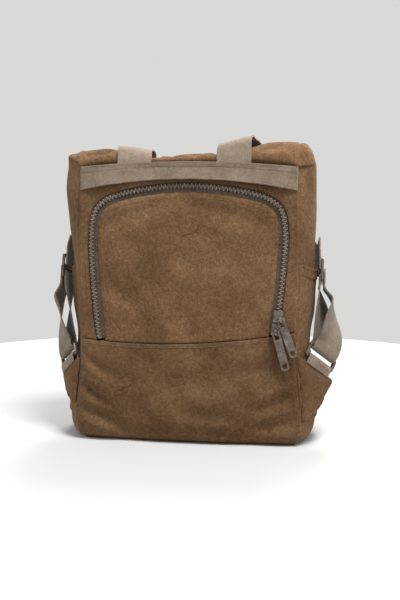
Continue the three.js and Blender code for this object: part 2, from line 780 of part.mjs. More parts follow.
// A pull in its own frame: its bar's axis on X through the origin, its length along -Y
function pullGeometry() {
  const half = pullWidth / 2;
  const window = bowWidth / 2 + 1;
  const outline = new THREE.Shape();
  outline.moveTo(-half, barReach);
  outline.lineTo(-half * 0.92, -pullLength * 0.4);
  outline.lineTo(-half, -pullLength + half);
  outline.absarc(0, -pullLength + half, half, Math.PI, 2 * Math.PI);
  outline.lineTo(half * 0.92, -pullLength * 0.4);
  outline.lineTo(half, barReach);
  outline.closePath();
  const slot = new THREE.Path();
  slot.moveTo(-window, -barReach);
  slot.lineTo(window, -barReach);
  slot.lineTo(window, -barReach - 7);
  slot.lineTo(-window, -barReach - 7);
  slot.closePath();
  outline.holes.push(slot);
  const eye = new THREE.Path();
  const eyeHalf = half - 2;
  eye.moveTo(eyeHalf, -pullLength + half + 3.5);
  eye.lineTo(eyeHalf, -pullLength + half);
  eye.absarc(0, -pullLength + half, eyeHalf, 0, -Math.PI, true);
  eye.lineTo(-eyeHalf, -pullLength + half + 3.5);
  eye.closePath();
  outline.holes.push(eye);
  const geometry = new THREE.ExtrudeGeometry(outline, {
    depth: pullThickness,
    bevelEnabled: false,
    curveSegments: 8,
  });
  geometry.translate(0, 0, -pullThickness / 2);
  return geometry;
}

const group = new THREE.Group();

function addMesh(name, geometry, material, parent = group) {
  const mesh = new THREE.Mesh(geometry, material);
  mesh.name = name;
  parent.add(mesh);
  return mesh;
}

addMesh("base_panel", basePanel(), suedeDark);
addMesh("front_lower", frontLower(), suede);
addMesh("front_frame", frontFrame(), suede);
addMesh("front_door", frontDoor(), suede);
addMesh("zip_tape", zipTape(), tapeCloth);
addMesh("zip_chain", zipChain(), teeth);
addMesh("top_band", topBand(), webbing);
addMesh("top_panel", topPanel(), suede);
addMesh("back_panel", backPanel(), suedeDark);

// Columns: name, hand, strap's root, the height its outer edge gains over the top, and how far
// behind the front seam the pocket starts
const hands = [
  ["left", -1, 60, 6, 21],
  ["right", 1, 51, 11, pocketInset],
];
hands.forEach(([name, hand, root, apex, frontInset]) => {
  addMesh(`gusset_${name}`, gusset(hand), suede);
  addMesh(`side_pocket_${name}`, sidePocket(hand, frontInset), suede);
  addMesh(`wing_${name}`, wing(hardware[name], hand), suede);
  addMesh(`ring_tab_${name}`, ringTab(hardware[name], hand), webbing);
  addMesh(`ring_${name}`, ring(hardware[name], hand), metal);
  addMesh(`strap_slide_${name}`, slide(hand), metal);
  addMesh(`strap_loop_${name}`, strapLoop(hardware[name], hand), webbing);
  addMesh(`shoulder_strap_${name}`, shoulderStrap(hand, root, apex), webbing);
});

// Share along the arch at which its right leg passes a height
function legShare(z) {
  let share = 0.75;
  while (arch.getPointAt(share).z > z) {
    share += 0.001;
  }
  return share;
}

// The two zip sliders near the foot of the right leg, each with its pull hanging from its bow.
// Columns: name, height of the slider's middle over the seam, its bow to the right of and below
// the middle, lean of the pull to the right in degrees.
const zipSliders = [
  ["upper", 33.5, 3.6, 2.4, 20],
  ["lower", 19.3, 0.3, 2.4, 15],
];
const pullRest = 7;
zipSliders.forEach(([name, height, aside, below, lean]) => {
  const share = legShare(seamHeight + height);
  const reach = 0.01;
  const depth = tapeRecess - 3 * gap - chainHeight;
  const above = besideArch(share - reach, 0, depth);
  const under = besideArch(share + reach, 0, depth);
  const seat = above.clone().lerp(under, 0.5);
  const up = above.sub(under).normalize();
  const right = new THREE.Vector3().crossVectors(up, new THREE.Vector3(0, -1, 0)).normalize();
  const out = new THREE.Vector3().crossVectors(right, up);
  const leaning = THREE.MathUtils.degToRad(lean);
  const chainLean = Math.atan2(up.x, up.z);
  const holder = new THREE.Group();
  holder.position.copy(seat);
  holder.setRotationFromMatrix(new THREE.Matrix4().makeBasis(right, up, out));
  addMesh(`zip_slider_${name}`, sliderGeometry(aside, below, leaning + chainLean), metal, holder);
  const hang = new THREE.Group();
  hang.position.set(aside, -below, sliderTop + pivotLift);
  hang.rotation.set(0, 0, leaning + chainLean);
  const swing = new THREE.Group();
  swing.rotation.x = THREE.MathUtils.degToRad(pullRest);
  addMesh(`zip_pull_${name}`, pullGeometry(), metal, swing);
  hang.add(swing);
  holder.add(hang);
  group.add(holder);
});

export default group;
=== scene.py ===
# %% [markdown]
# # A brown suede backpack
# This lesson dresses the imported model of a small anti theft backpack: brown suede cloth, taupe
# webbing, a chunky moulded zip and painted metal fittings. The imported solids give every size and
# place. Here they get sewn edges, folds, weave and nap, and soft solids are replaced by cloth.

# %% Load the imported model
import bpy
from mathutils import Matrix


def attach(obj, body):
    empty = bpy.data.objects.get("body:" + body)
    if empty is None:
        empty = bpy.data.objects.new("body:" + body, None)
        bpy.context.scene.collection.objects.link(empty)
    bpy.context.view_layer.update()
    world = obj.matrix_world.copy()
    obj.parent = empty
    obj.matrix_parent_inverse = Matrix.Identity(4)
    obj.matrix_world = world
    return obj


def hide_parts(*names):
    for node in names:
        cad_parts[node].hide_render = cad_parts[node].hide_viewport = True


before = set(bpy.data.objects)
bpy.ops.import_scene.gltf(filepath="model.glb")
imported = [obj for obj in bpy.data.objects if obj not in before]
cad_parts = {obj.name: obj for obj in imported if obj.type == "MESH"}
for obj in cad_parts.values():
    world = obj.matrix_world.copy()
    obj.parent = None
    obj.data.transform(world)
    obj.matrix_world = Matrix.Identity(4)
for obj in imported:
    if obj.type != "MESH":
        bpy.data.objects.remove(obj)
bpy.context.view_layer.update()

import bisect
import math
import bmesh
import bpy
from mathutils import Matrix, Vector, kdtree, noise
from mathutils.bvhtree import BVHTree

MM = 0.001
HANDS = ((-1, "left"), (1, "right"))
scene = bpy.context.scene

# %% [markdown]
# ## Camera
# A long lens a metre away, a little to the right and a little above, keeps the bag's sides nearly
# parallel, as in a catalogue picture. The long side of the picture takes the whole sensor.

# %% Camera
def placed(name, data):
    """A new object in the scene."""
    made = bpy.data.objects.new(name, data)
    scene.collection.objects.link(made)
    return made


aim = Vector((0.015, -0.050, 0.1642))
turn = math.radians(8)
rise = math.radians(8)
distance = 1.0
camera_data = bpy.data.cameras.new("camera")
camera_data.sensor_fit = "AUTO"
camera_data.sensor_width = 36
camera_data.lens = 54.05
camera = placed("camera", camera_data)
offset = Vector((math.sin(turn) * math.cos(rise), -math.cos(turn) * math.cos(rise), math.sin(rise)))
camera.location = aim + distance * offset
camera.rotation_euler = (-offset).to_track_quat("-Z", "Y").to_euler()
scene.camera = camera
scene.view_settings.view_transform = "Standard"
print("camera at", [round(value, 3) for value in camera.location])

# %% [markdown]
# ## Floor and light
# The bag stands on a white sheet in front of a pale grey room. A round sheet looks the same from
# every side. A soft lamp high above the front rakes over the folds, weaker ones light the sides
# and the back, and the pale room fills the shadows.

# %% Floor
def finish(name, roughness, specular=0.5, metallic=0.0):
    material = bpy.data.materials.new(name)
    material.use_nodes = True
    shader = material.node_tree.nodes["Principled BSDF"]
    shader.inputs["Roughness"].default_value = roughness
    shader.inputs["Specular IOR Level"].default_value = specular
    shader.inputs["Metallic"].default_value = metallic
    return material, material.node_tree, shader


FLOOR_RADIUS = 0.66
bm = bmesh.new()
bmesh.ops.create_circle(bm, cap_ends=True, segments=96, radius=FLOOR_RADIUS)
floor_mesh = bpy.data.meshes.new("floor")
bm.to_mesh(floor_mesh)
bm.free()
floor = placed("floor", floor_mesh)
paper, _, shader = finish("floor_paper", 0.9)
shader.inputs["Base Color"].default_value = (0.48, 0.48, 0.48, 1)
floor_mesh.materials.append(paper)
print("floor radius", FLOOR_RADIUS, "m")

# %% Light
world = bpy.data.worlds.new("pale_room")
world.use_nodes = True
room = world.node_tree.nodes["Background"]
room.inputs["Color"].default_value = (0.72, 0.72, 0.71, 1)
room.inputs["Strength"].default_value = 0.96
scene.world = world

LAMP_AIM = Vector((0, 0, 0.15))
lamps = [
    ("key_lamp", (0.5, -0.55, 2.0), 0.55, 52),
    ("fill_lamp", (1.9, -0.7, 0.9), 0.9, 10),
    ("left_lamp", (-1.9, -0.5, 0.8), 0.9, 9),
    ("back_lamp", (0.1, 1.1, 1.9), 0.8, 34),
]
for lamp_name, place, size, power in lamps:
    lamp_data = bpy.data.lights.new(lamp_name, "AREA")
    lamp_data.size = size
    lamp_data.energy = power
    lamp = placed(lamp_name, lamp_data)
    lamp.location = place
    lamp.rotation_euler = (LAMP_AIM - Vector(place)).to_track_quat("-Z", "Y").to_euler()
print("lamps", len(lamps))

# %% [markdown]
# ## Finishes
# Suede cloth has no weave that shows: it has a short nap, which lies in patches of lighter and
# darker brown, with a fine speckle and a soft sheen at grazing angles. Noise at three sizes gives
# the patches, the clumps and the speckle, and slow noise gives fine creases in places, drawn a
# little darker as painted shade. Patterns read Object coordinates, which are metres here.

# %% Helpers for finishes
def add(tree, kind, values=(), **settings):
    made = tree.nodes.new("ShaderNode" + kind)
    for key, value in settings.items():
        setattr(made, key, value)
    for key, value in dict(values).items():
        if isinstance(value, bpy.types.NodeSocket):
            tree.links.new(value, made.inputs[key])
        else:
            made.inputs[key].default_value = value
    return made


def grain(tree, place, size, detail=3.0, rough=0.6, stretch=(1, 1, 1)):
    """Noise whose lumps are about size metres across."""
    laid = add(tree, "Mapping", {"Vector": place, "Scale": stretch})
    return add(tree, "TexNoise", {
        "Vector": laid.outputs[0], "Scale": 0.5 / size, "Detail": detail, "Roughness": rough,
    }).outputs["Fac"]


def maths(tree, operation, *values):
    return add(tree, "Math", dict(enumerate(values)), operation=operation).outputs[0]


def sums(tree, parts):
    """The weighted sum of several values."""
    total = None
    for socket, weight in parts:
        scaled = maths(tree, "MULTIPLY", socket, weight)
        total = scaled if total is None else maths(tree, "ADD", total, scaled)
    return total


def tinted(tree, shader, value, stops):
    """Colours the shader through a ramp of (place, colour) stops."""
    ramp = add(tree, "ValToRGB", {"Fac": value})
    elements = ramp.color_ramp.elements
    while len(elements) < len(stops):
        elements.new(0.5)
    for element, (place, colour) in zip(elements, stops):
        element.position = place
        element.color = (*colour, 1)
    tree.links.new(ramp.outputs["Color"], shader.inputs["Base Color"])


def embossed(tree, shader, height, depth, strength=1.0):
    bump = add(tree, "Bump", {"Height": height, "Distance": depth, "Strength": strength})
    tree.links.new(bump.outputs[0], shader.inputs["Normal"])


def coordinates(tree, kind="Object"):
    return add(tree, "TexCoord").outputs[kind]


# %% Suede cloth
def fine_creases(tree, place, size, width):
    """Thin lines in places, where slow noise passes its middle, as in folded cloth."""
    wander = grain(tree, place, size, 2.0, 0.45)
    off = maths(tree, "ABSOLUTE", maths(tree, "SUBTRACT", wander, 0.5))
    line = add(tree, "MapRange", {"Value": off, "From Max": width, "To Min": 1.0, "To Max": 0.0})
    spread = grain(tree, place, size * 0.8, 1.0)
    where = add(tree, "MapRange", {"Value": spread, "From Min": 0.56, "From Max": 0.7})
    return maths(tree, "MULTIPLY", line.outputs[0], where.outputs[0])


def suede_finish(name, tone):
    material, tree, shader = finish(name, 0.96, 0.1)
    place = coordinates(tree)
    brushed = add(tree, "Mapping", {"Vector": place, "Rotation": (0, 0.7, 0)}).outputs[0]
    patches = grain(tree, brushed, 0.022, 2.0, 0.5, (1.0, 1.0, 0.6))
    clumps = grain(tree, place, 0.0028, 2.0, 0.6)
    speckle = grain(tree, place, 0.0013, 2.0, 0.75)
    lines = fine_creases(tree, brushed, 0.03, 0.012)
    # The crease lines also darken the colour a little, as painted shade in the creases; in the
    # relief they are grooves.
    colour = sums(tree, [(patches, 0.37), (clumps, 0.21), (speckle, 0.42), (lines, -0.08)])
    browns = [(0.34, (0.064, 0.0325, 0.0144)), (0.5, (0.12, 0.0652, 0.0306)),
              (0.66, (0.192, 0.113, 0.0588))]
    tinted(tree, shader, colour,
           [(stop, [tone * part for part in brown]) for stop, brown in browns])
    relief = sums(tree, [(clumps, 0.5), (speckle, 0.5), (lines, -0.7)])
    embossed(tree, shader, relief, 0.0011, 0.75)
    shader.inputs["Sheen Weight"].default_value = 0.16
    shader.inputs["Sheen Roughness"].default_value = 0.45
    shader.inputs["Sheen Tint"].default_value = (0.62, 0.47, 0.34, 1)
    return material


# The three copies differ only in tone. The two darker ones are painted shade: the lower front and
# the wings take the darker one, the back and the base the darkest.
suede = suede_finish("suede_brown", 1.0)
suede_lower_shade = suede_finish("suede_lower_shade", 0.84)
suede_dark_shade = suede_finish("suede_base_shade", 0.72)
print("suede made")

# %% [markdown]
# Webbing is a narrow woven band. Its threads show as a fine grid of small humps that follows the
# band, so the pattern reads the piece's own UV map, which holds metres across and along. The
# shoulder straps' cloth is paler than that of the band, the loops and the tabs.

# %% Webbing, zip tape and thread
def woven_finish(name, pitch, stops, depth):
    material, tree, shader = finish(name, 0.85, 0.25)
    flat = add(tree, "SeparateXYZ", {0: coordinates(tree, "UV")})
    ripples = []
    for axis, share in (("X", 1.0), ("Y", 0.8)):
        turns = maths(tree, "MULTIPLY", flat.outputs[axis], 2 * math.pi / (pitch * share))
        ripples.append(maths(tree, "SINE", turns))
    weave = maths(tree, "MULTIPLY", *ripples)
    place = coordinates(tree)
    fuzz = grain(tree, place, 0.0012, 2.0, 0.7)
    wear = grain(tree, place, 0.012, 3.0)
    height = sums(tree, [(weave, 0.35), (fuzz, 0.35)])
    tinted(tree, shader, sums(tree, [(weave, 0.16), (fuzz, 0.5), (wear, 0.5)]), stops)
    embossed(tree, shader, height, depth, 0.8)
    shader.inputs["Sheen Weight"].default_value = 0.15
    shader.inputs["Sheen Roughness"].default_value = 0.5
    return material


def mottled_finish(name, roughness, specular, size, stops):
    material, tree, shader = finish(name, roughness, specular)
    tinted(tree, shader, grain(tree, coordinates(tree), size, 2.0), stops)
    return material


webbing = woven_finish("webbing_taupe", 0.0016, [
    (0.3, (0.098, 0.07, 0.047)), (0.5, (0.17, 0.127, 0.09)), (0.72, (0.25, 0.195, 0.144)),
], 0.0006)
webbing_pale = woven_finish("webbing_strap", 0.0016, [
    (0.3, (0.145, 0.107, 0.074)), (0.5, (0.22, 0.169, 0.123)), (0.72, (0.295, 0.236, 0.178)),
], 0.0006)
# The tape is darker than its own taupe: partly the tape's colour, partly painted shade for the
# groove beside the door's edge.
tape_cloth_shaded = woven_finish("zip_tape_cloth", 0.0011, [
    (0.3, (0.043, 0.03, 0.02)), (0.5, (0.075, 0.054, 0.038)), (0.72, (0.115, 0.086, 0.062)),
], 0.0004)
thread = mottled_finish("sewing_thread", 0.7, 0.3, 0.0006, [
    (0.3, (0.105, 0.062, 0.033)), (0.7, (0.2, 0.126, 0.072)),
])
thread_pale = mottled_finish("webbing_thread", 0.7, 0.3, 0.0006, [
    (0.3, (0.19, 0.145, 0.105)), (0.7, (0.33, 0.265, 0.205)),
])

# %% [markdown]
# The teeth are moulded plastic with a waxy gloss. The sliders, pulls, rings and slides are cast
# metal with a taupe coat, a little rubbed in patches.

# %% Teeth and coated metal
teeth_plastic = mottled_finish("teeth_plastic", 0.46, 0.4, 0.003, [
    (0.3, (0.105, 0.077, 0.055)), (0.7, (0.18, 0.138, 0.102)),
])
coated_metal, tree, shader = finish("coated_metal", 0.34, 0.5, 0.75)
tinted(tree, shader, grain(tree, coordinates(tree), 0.004, 4.0), [
    (0.3, (0.09, 0.071, 0.057)), (0.5, (0.15, 0.123, 0.101)), (0.7, (0.24, 0.205, 0.175)),
])
embossed(tree, shader, grain(tree, coordinates(tree), 0.0009, 3.0), 0.00012, 0.5)
print("finishes", len(bpy.data.materials))

# %% [markdown]
# ## The body's shape
# The body is a lofted bag. A table of sections gives its widths and depths from the base up, and a
# smooth curve runs through the rows. These are the model's own driving numbers, in millimetres.

# %% Sections of the body
WALL_HEIGHT, FRONT_WIDTH, BODY_WIDTH, BODY_DEPTH = 310, 245, 281, 103
WALL, BACK_WALL, BASE, GAP = 2.2, 5, 2.4, 0.3
TOP_RISE, FRONT_CROWN, SEAM_HEIGHT = 24, 6, 115
HALF_FRONT, HALF_BODY, HALF_DEPTH = FRONT_WIDTH / 2, BODY_WIDTH / 2, BODY_DEPTH / 2
# Columns: height, half widths of front and side, depths of the front and back seams, belly, and
# the left side's extra fullness, as shares of the sizes above
section_rows = [
    [0.0, 0.975, 0.925, 0.86, 0.84, 0.08, 0.015],
    [0.016, 1.02, 0.98, 0.95, 0.93, 0.1, 0.02],
    [0.05, 1.048, 1.012, 1.0, 1.0, 0.13, 0.02],
    [0.11, 1.05, 1.018, 1.02, 1.0, 0.14, 0.015],
    [0.21, 1.02, 1.0, 1.02, 0.99, 0.15, 0],
    [0.3, 0.996, 0.972, 1.01, 0.97, 0.15, 0],
    [0.38, 0.98, 0.95, 1.0, 0.96, 0.14, 0],
    [0.49, 0.992, 0.975, 0.98, 0.93, 0.14, 0],
    [0.61, 1.0, 0.985, 0.95, 0.9, 0.12, -0.004],
    [0.68, 1.0, 0.994, 0.93, 0.88, 0.1, -0.002],
    [0.8, 1.003, 1.004, 0.89, 0.84, 0.07, 0.024],
    [0.92, 1.0, 1.006, 0.84, 0.8, 0.02, 0.044],
    [1.0, 0.994, 0.996, 0.79, 0.77, -0.06, 0.04],
]
# Columns: place across from the left to the right end, height as a share of TOP_RISE
crest_rows = [
    [-1.0, 0.56], [-0.97, 0.64], [-0.9, 0.7], [-0.8, 0.74], [-0.62, 0.76], [-0.45, 0.5],
    [-0.3, 0.36], [0.0, 0.4], [0.25, 0.56], [0.5, 0.9], [0.72, 1.08], [0.88, 1.06],
    [0.94, 0.94], [0.97, 0.68], [1.0, 0.16],
]

# %% Smooth curves through tables
def lerp(start, end, share):
    return start + (end - start) * share


def clamp(value, low=0, high=1):
    return min(max(value, low), high)


def smooth_table(rows):
    """A smooth curve through a table's rows: place in, the row's other columns out."""
    places = [row[0] for row in rows]
    values = [row[1:] for row in rows]
    wide = range(len(values[0]))
    slopes = [None] * len(rows)
    for i in range(1, len(rows) - 1):
        span = places[i + 1] - places[i - 1]
        slopes[i] = [(values[i + 1][k] - values[i - 1][k]) / span for k in wide]
    for end, inside in ((0, 1), (-1, -2)):
        span = places[inside] - places[end]
        slopes[end] = [1.5 * (values[inside][k] - values[end][k]) / span - 0.5 * slopes[inside][k]
                       for k in wide]

    def at(place):
        place = clamp(place, places[0], places[-1])
        i = clamp(bisect.bisect_right(places, place) - 1, 0, len(rows) - 2)
        span = places[i + 1] - places[i]
        t = (place - places[i]) / span
        a, b, c, d = 2*t**3 - 3*t**2 + 1, t**3 - 2*t**2 + t, 3*t**2 - 2*t**3, t**3 - t**2
        return [a * values[i][k] + b * span * slopes[i][k]
                + c * values[i + 1][k] + d * span * slopes[i + 1][k] for k in wide]

    return at


section_at = smooth_table(section_rows)
crest_at = smooth_table(crest_rows)

# %% Faces of the body
def section(z):
    """A section's sizes at a height, in the order of the table's columns."""
    front, side, front_seam, back_seam, belly, left_full = section_at(z / WALL_HEIGHT)
    return (front * HALF_FRONT, side * HALF_BODY, -front_seam * HALF_DEPTH, back_seam * HALF_DEPTH,
            belly * HALF_DEPTH, left_full * HALF_BODY)


TOP_HALF = section(WALL_HEIGHT)[0]


def front_y(x, z):
    front, _, seam, _, belly, _ = section(z)
    across = min(abs(x) / front, 1)
    dents = 0.8 * math.sin(x / 31 + 0.6) * math.sin(z / 37) * (1 - across * across)
    return seam - belly * (1 - across ** 2.2) - dents


def back_y(x, z):
    front, _, _, seam, *_ = section(z)
    return seam + 0.05 * HALF_DEPTH * (1 - min(abs(x) / front, 1) ** 2)


def side_bulge(share, z, hand):
    front, side, *_, left_full = section(z)
    full = side - front + (left_full if hand < 0 else 0)
    return max(math.sin(math.pi * share), 0) ** 0.9 * full


def side_point(share, z, hand):
    front, _, front_seam, back_seam, *_ = section(z)
    start = front_seam + WALL + 2 * GAP
    end = back_seam - BACK_WALL - 3 * GAP
    return Vector((front + side_bulge(share, z, hand), lerp(start, end, share), z))


def seam_z(x):
    return SEAM_HEIGHT + 0.00055 * (x + 45) ** 2


def front_top(x):
    return WALL_HEIGHT + FRONT_CROWN * (1 - (x / HALF_FRONT) ** 2)


print("front at mid height", round(front_y(0, 150), 1), "mm")

# %% [markdown]
# The zip runs in an arch. Its path is kept as evenly spaced points, so that tape, teeth and the
# turned edges beside it all follow one line.

# %% The zip's arch as a table
ARCH_HALF, ARCH_HEIGHT = 0.443 * FRONT_WIDTH, WALL_HEIGHT - 20
CHAIN_WIDTH, TAPE_RECESS = 5.6, 1.6
DOOR_INSET, FRAME_INSET = CHAIN_WIDTH / 2 + 4.2, CHAIN_WIDTH / 2 + 1
# Columns: shares of the arch's half width and of its height, from a foot to the crown
arch_rows = [
    [0.914, 0.0], [0.955, 0.22], [0.99, 0.48], [1.0, 0.66], [0.965, 0.82], [0.86, 0.9],
    [0.68, 0.946], [0.36, 0.984], [0.0, 1.0],
]

# %% Evenly spaced rows on a curve
def apart(before, after):
    return (Vector(after[:3]) - Vector(before[:3])).length


def smooth_path(points, steps):
    """Evenly spaced rows along a smooth curve through some rows, and the curve's length."""
    rows = [[0.0, *points[0]]]
    for before, point in zip(points, points[1:]):
        rows.append([rows[-1][0] + apart(before, point) ** 0.5, *point])
    curve = smooth_table(rows)
    fine = [curve(rows[-1][0] * i / (steps * 8)) for i in range(steps * 8 + 1)]
    run = [0.0]
    for before, point in zip(fine, fine[1:]):
        run.append(run[-1] + apart(before, point))
    even = []
    for i in range(steps + 1):
        wanted = run[-1] * i / steps
        k = clamp(bisect.bisect_left(run, wanted), 1, len(fine) - 1)
        share = (wanted - run[k - 1]) / max(run[k] - run[k - 1], 1e-9)
        even.append([lerp(a, b, share) for a, b in zip(fine[k - 1], fine[k])])
    return even, run[-1]


# %% Points on and beside the arch
def arch_point(hand, across, up):
    x = hand * across * ARCH_HALF
    foot = seam_z(x) + 2
    return (x, 0.0, foot + up * (ARCH_HEIGHT - foot))


arch_points = [arch_point(-1, *row) for row in arch_rows]
arch_points += [arch_point(1, *row) for row in reversed(arch_rows[:-1])]
ARCH_STEPS = 600
arch, arch_length = smooth_path(arch_points, ARCH_STEPS)


def arch_at(share):
    """Point on the arch and the direction along it."""
    step = clamp(share) * ARCH_STEPS
    k = min(int(step), ARCH_STEPS - 1)
    here, after = Vector(arch[k]), Vector(arch[k + 1])
    return here.lerp(after, step - k), (after - here).normalized()


def beside_arch(share, offset, depth):
    """A point beside the arch, outward where the offset is positive, behind the front's face."""
    at, along = arch_at(share)
    x = at.x - along.z * offset
    z = at.z + along.x * offset
    return Vector((x, front_y(x, z) + depth, z))


def climbs(share):
    along = arch_at(share)[1]
    return along.x < along.z


corner_share = next(i / 1000 for i in range(200, 500) if not climbs(i / 1000))
print("zip", round(arch_length), "mm, corner at", corner_share)

# %% [markdown]
# ## Folds and turned edges
# Cloth is never flat. Slow noise gives the lazy waves of a bag that stands empty, short ripples
# pucker beside each seam, and a table of creases places the folds that are seen. Each
# panel's edge curls in to its seam over a few millimetres, so two panels meet in a fine valley.

# %% Seams of the front
# How far from each kind of seam an edge starts to curl, and how deep it ends
seam_kinds = {"door": (4.2, 2.6), "frame": (3.0, 1.5), "sewn": (2.4, 2.1)}
seam_points = []
SEAM_STEPS = 400
for i in range(SEAM_STEPS + 1):
    share = i / SEAM_STEPS
    seam_points.append((beside_arch(share, -DOOR_INSET, 0), "door"))
    seam_points.append((beside_arch(share, FRAME_INSET, 0), "frame"))
    across = lerp(-1.06, 1.06, share) * HALF_FRONT
    seam_points.append((Vector((across, 0, seam_z(across))), "sewn"))
    height = WALL_HEIGHT * share
    for hand in (-1, 1):
        seam_points.append((Vector((hand * section(height)[0], 0, height)), "sewn"))
seam_tree = kdtree.KDTree(len(seam_points))
for i, (point, _) in enumerate(seam_points):
    seam_tree.insert((point.x, 0, point.z), i)
seam_tree.balance()
print("seam points", len(seam_points))

# %% Creases
# Columns: start and end across and up, width, depth inward
creases = [
    (-126, 104, -96, 82, 4.5, 2.8),
    (-124, 66, -92, 44, 6, 3.2),
    (-122, 40, -70, 16, 7, 3.4),
    (-112, 92, -60, 70, 10, 1.8),
    (-80, 8, -6, 16, 6, 2.0),
    (14, 15, 76, 9, 6, 2.0),
    (34, 8, 48, 20, 3.5, 1.6),
    (124, 62, 84, 40, 7, 2.4),
    (122, 30, 70, 18, 7, 2.4),
    (112, 96, 60, 82, 9, 1.6),
    (-64, 130, -34, 205, 13, 1.6),
    (36, 130, 66, 240, 15, 1.8),
    (-92, 246, -30, 270, 9, 1.5),
    (14, 268, 88, 246, 9, 1.5),
    (-30, 226, 22, 196, 10, 1.3),
    (-30, 60, 50, 82, 13, 1.8),
    (-10, 40, 60, 28, 9, 1.4),
    (-90, 176, -52, 160, 8, 1.2),
]


def bell(away, width):
    return math.exp(-(away / width) ** 2)


def crease_depth(x, z):
    total = 0.0
    for x0, z0, x1, z1, width, depth in creases:
        dx, dz = x1 - x0, z1 - z0
        along = ((x - x0) * dx + (z - z0) * dz) / (dx * dx + dz * dz)
        if -0.25 < along < 1.25:
            away = ((x - x0) * dz - (z - z0) * dx) / math.hypot(dx, dz)
            fade = max(0.0, 1 - (2 * along - 1) ** 2 / 2.25)
            total += depth * fade * bell(away, width)
            total -= 0.5 * depth * fade * bell(away - 1.9 * width, width)
    return total


print("creases", len(creases))

# %% The front's cloth
def waves(point, lazy=1.1, short=0.32):
    """Slow and short noise, in millimetres."""
    slow = noise.noise(point / 46 + Vector((3.1, 7.7, 1.3)))
    quick = noise.noise(point / 15 + Vector((9.2, 2.4, 5.5)))
    return lazy * slow + short * quick


def pucker(point, away, reach=9.0, height=0.35):
    return height * math.exp(-away / reach) * noise.noise(point / 5.5)


def turned_in(away, reach, depth):
    """How far an edge has curled in, away millimetres from its seam."""
    if away >= reach:
        return 0.0
    part = 1 - max(away, 0) / reach
    return depth * (1 - math.sqrt(max(1 - part * part, 0)))


def front_cloth(x, z):
    """The front's face with its folds and its edges turned in to their seams."""
    point = Vector((x, front_y(x, z), z))
    _, i, away = seam_tree.find((x, 0, z))
    reach, depth = seam_kinds[seam_points[i][1]]
    calm = min(away / 14, 1)
    point.y += turned_in(away, reach, depth) + calm * 1.25 * crease_depth(x, z)
    point.y -= calm * waves(point) + pucker(point, away)
    return point


print("cloth at mid height", round(front_cloth(0, 150).y, 1), "mm")

# %% [markdown]
# ## Panels
# Each panel starts as a flat grid, as cloth is cut, and the grid is laid on the bag's surface. The
# grid's lines stand closer together at the panel's edges, where it curls in. Solidify gives the
# cloth its thickness on the inside.

# %% Helpers for panels
def crowded(share, pull=0.5):
    """Moves grid lines towards both ends."""
    return (1 - pull) * share + pull * (1 - math.cos(math.pi * share)) / 2


def laid_grid(columns, rows, place, wide=1.0, long=1.0):
    """A flat grid laid by a function of the shares across and along, with a UV map in metres."""
    bm = bmesh.new()
    bm.loops.layers.uv.new("cloth")
    bmesh.ops.create_grid(bm, x_segments=columns, y_segments=rows, size=0.5, calc_uvs=True)
    uv = bm.loops.layers.uv.active
    for face in bm.faces:
        for loop in face.loops:
            loop[uv].uv = ((loop.vert.co.x + 0.5) * wide * MM, (loop.vert.co.y + 0.5) * long * MM)
    for vert in bm.verts:
        vert.co = place(vert.co.x + 0.5, vert.co.y + 0.5)
    return bm


FRONTWARD, BACKWARD, UPWARD = Vector((0, -1, 0)), Vector((0, 1, 0)), Vector((0, 0, 1))


def facing(bm, outward):
    """Turns a sheet's faces so that most of it looks outward."""
    bm.normal_update()
    if sum(face.normal.dot(outward) * face.calc_area() for face in bm.faces) < 0:
        bmesh.ops.reverse_faces(bm, faces=bm.faces)
    return bm


def make_piece(bm, name, material, body="bag", instead_of=(), scale=MM):
    """Turns a bmesh into a piece that rides on a body and stands for some solids."""
    bmesh.ops.scale(bm, vec=(scale, scale, scale), verts=bm.verts)
    mesh = bpy.data.meshes.new(name)
    bm.to_mesh(mesh)
    bm.free()
    for polygon in mesh.polygons:
        polygon.use_smooth = True
    piece = placed(name, mesh)
    mesh.materials.append(material)
    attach(piece, body)
    if instead_of:
        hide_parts(*instead_of)
    return piece


def thicken(piece, thickness, offset=-1.0):
    wall = piece.modifiers.new("thickness", "SOLIDIFY")
    wall.thickness = thickness * MM
    wall.offset = offset
    wall.use_even_offset = False


def panel(name, node, place, columns, rows, outward, material=suede, thickness=WALL):
    """A sheet of suede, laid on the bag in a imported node's stead."""
    piece = make_piece(facing(laid_grid(columns, rows, place), outward), name, material,
                       instead_of=[node])
    if thickness:
        thicken(piece, thickness)
    return piece


# %% Lower front
PANEL_FOOT = BASE + GAP


def lower_place(u, v):
    u, v = crowded(u), crowded(v, 0.3)
    up = v ** 1.5
    x = (2 * u - 1) * section(lerp(PANEL_FOOT, SEAM_HEIGHT, up))[0]
    point = front_cloth(x, lerp(PANEL_FOOT, seam_z(x) - GAP, up))
    point.y += turned_in(point.z - PANEL_FOOT, 5, 3)
    return point


# The lower front's darker suede is painted shade.
lower = panel("lower_front", "front_lower", lower_place, 150, 84, FRONTWARD, suede_lower_shade)
print("lower front", len(lower.data.vertices), "points")

# %% [markdown]
# The door's outline follows the inside of the arch, so its columns lean: the middle ones run
# straight up and the outer ones follow the legs.

# %% Door
def spread(start, end, steps):
    """Evenly spaced values from start to end."""
    return [lerp(start, end, i / steps) for i in range(steps + 1)]


door_outline = [beside_arch(share, -DOOR_INSET, 0) for share in spread(0, 1, SEAM_STEPS)]
DOOR_CORNER = 0.2
leg_top = beside_arch(DOOR_CORNER, -DOOR_INSET, 0).z
legs = {}
for hand in (-1, 1):
    side = [point for point in door_outline if point.x * hand > 0]
    side = side[::-1] if hand > 0 else side
    peak = max(range(len(side)), key=lambda k: side[k].z)
    legs[hand] = side[:peak + 1]


def door_edge_x(hand, z):
    leg = legs[hand]
    k = clamp(bisect.bisect_left([point.z for point in leg], z), 1, len(leg) - 1)
    share = (z - leg[k - 1].z) / max(leg[k].z - leg[k - 1].z, 1e-6)
    return lerp(leg[k - 1].x, leg[k].x, clamp(share))


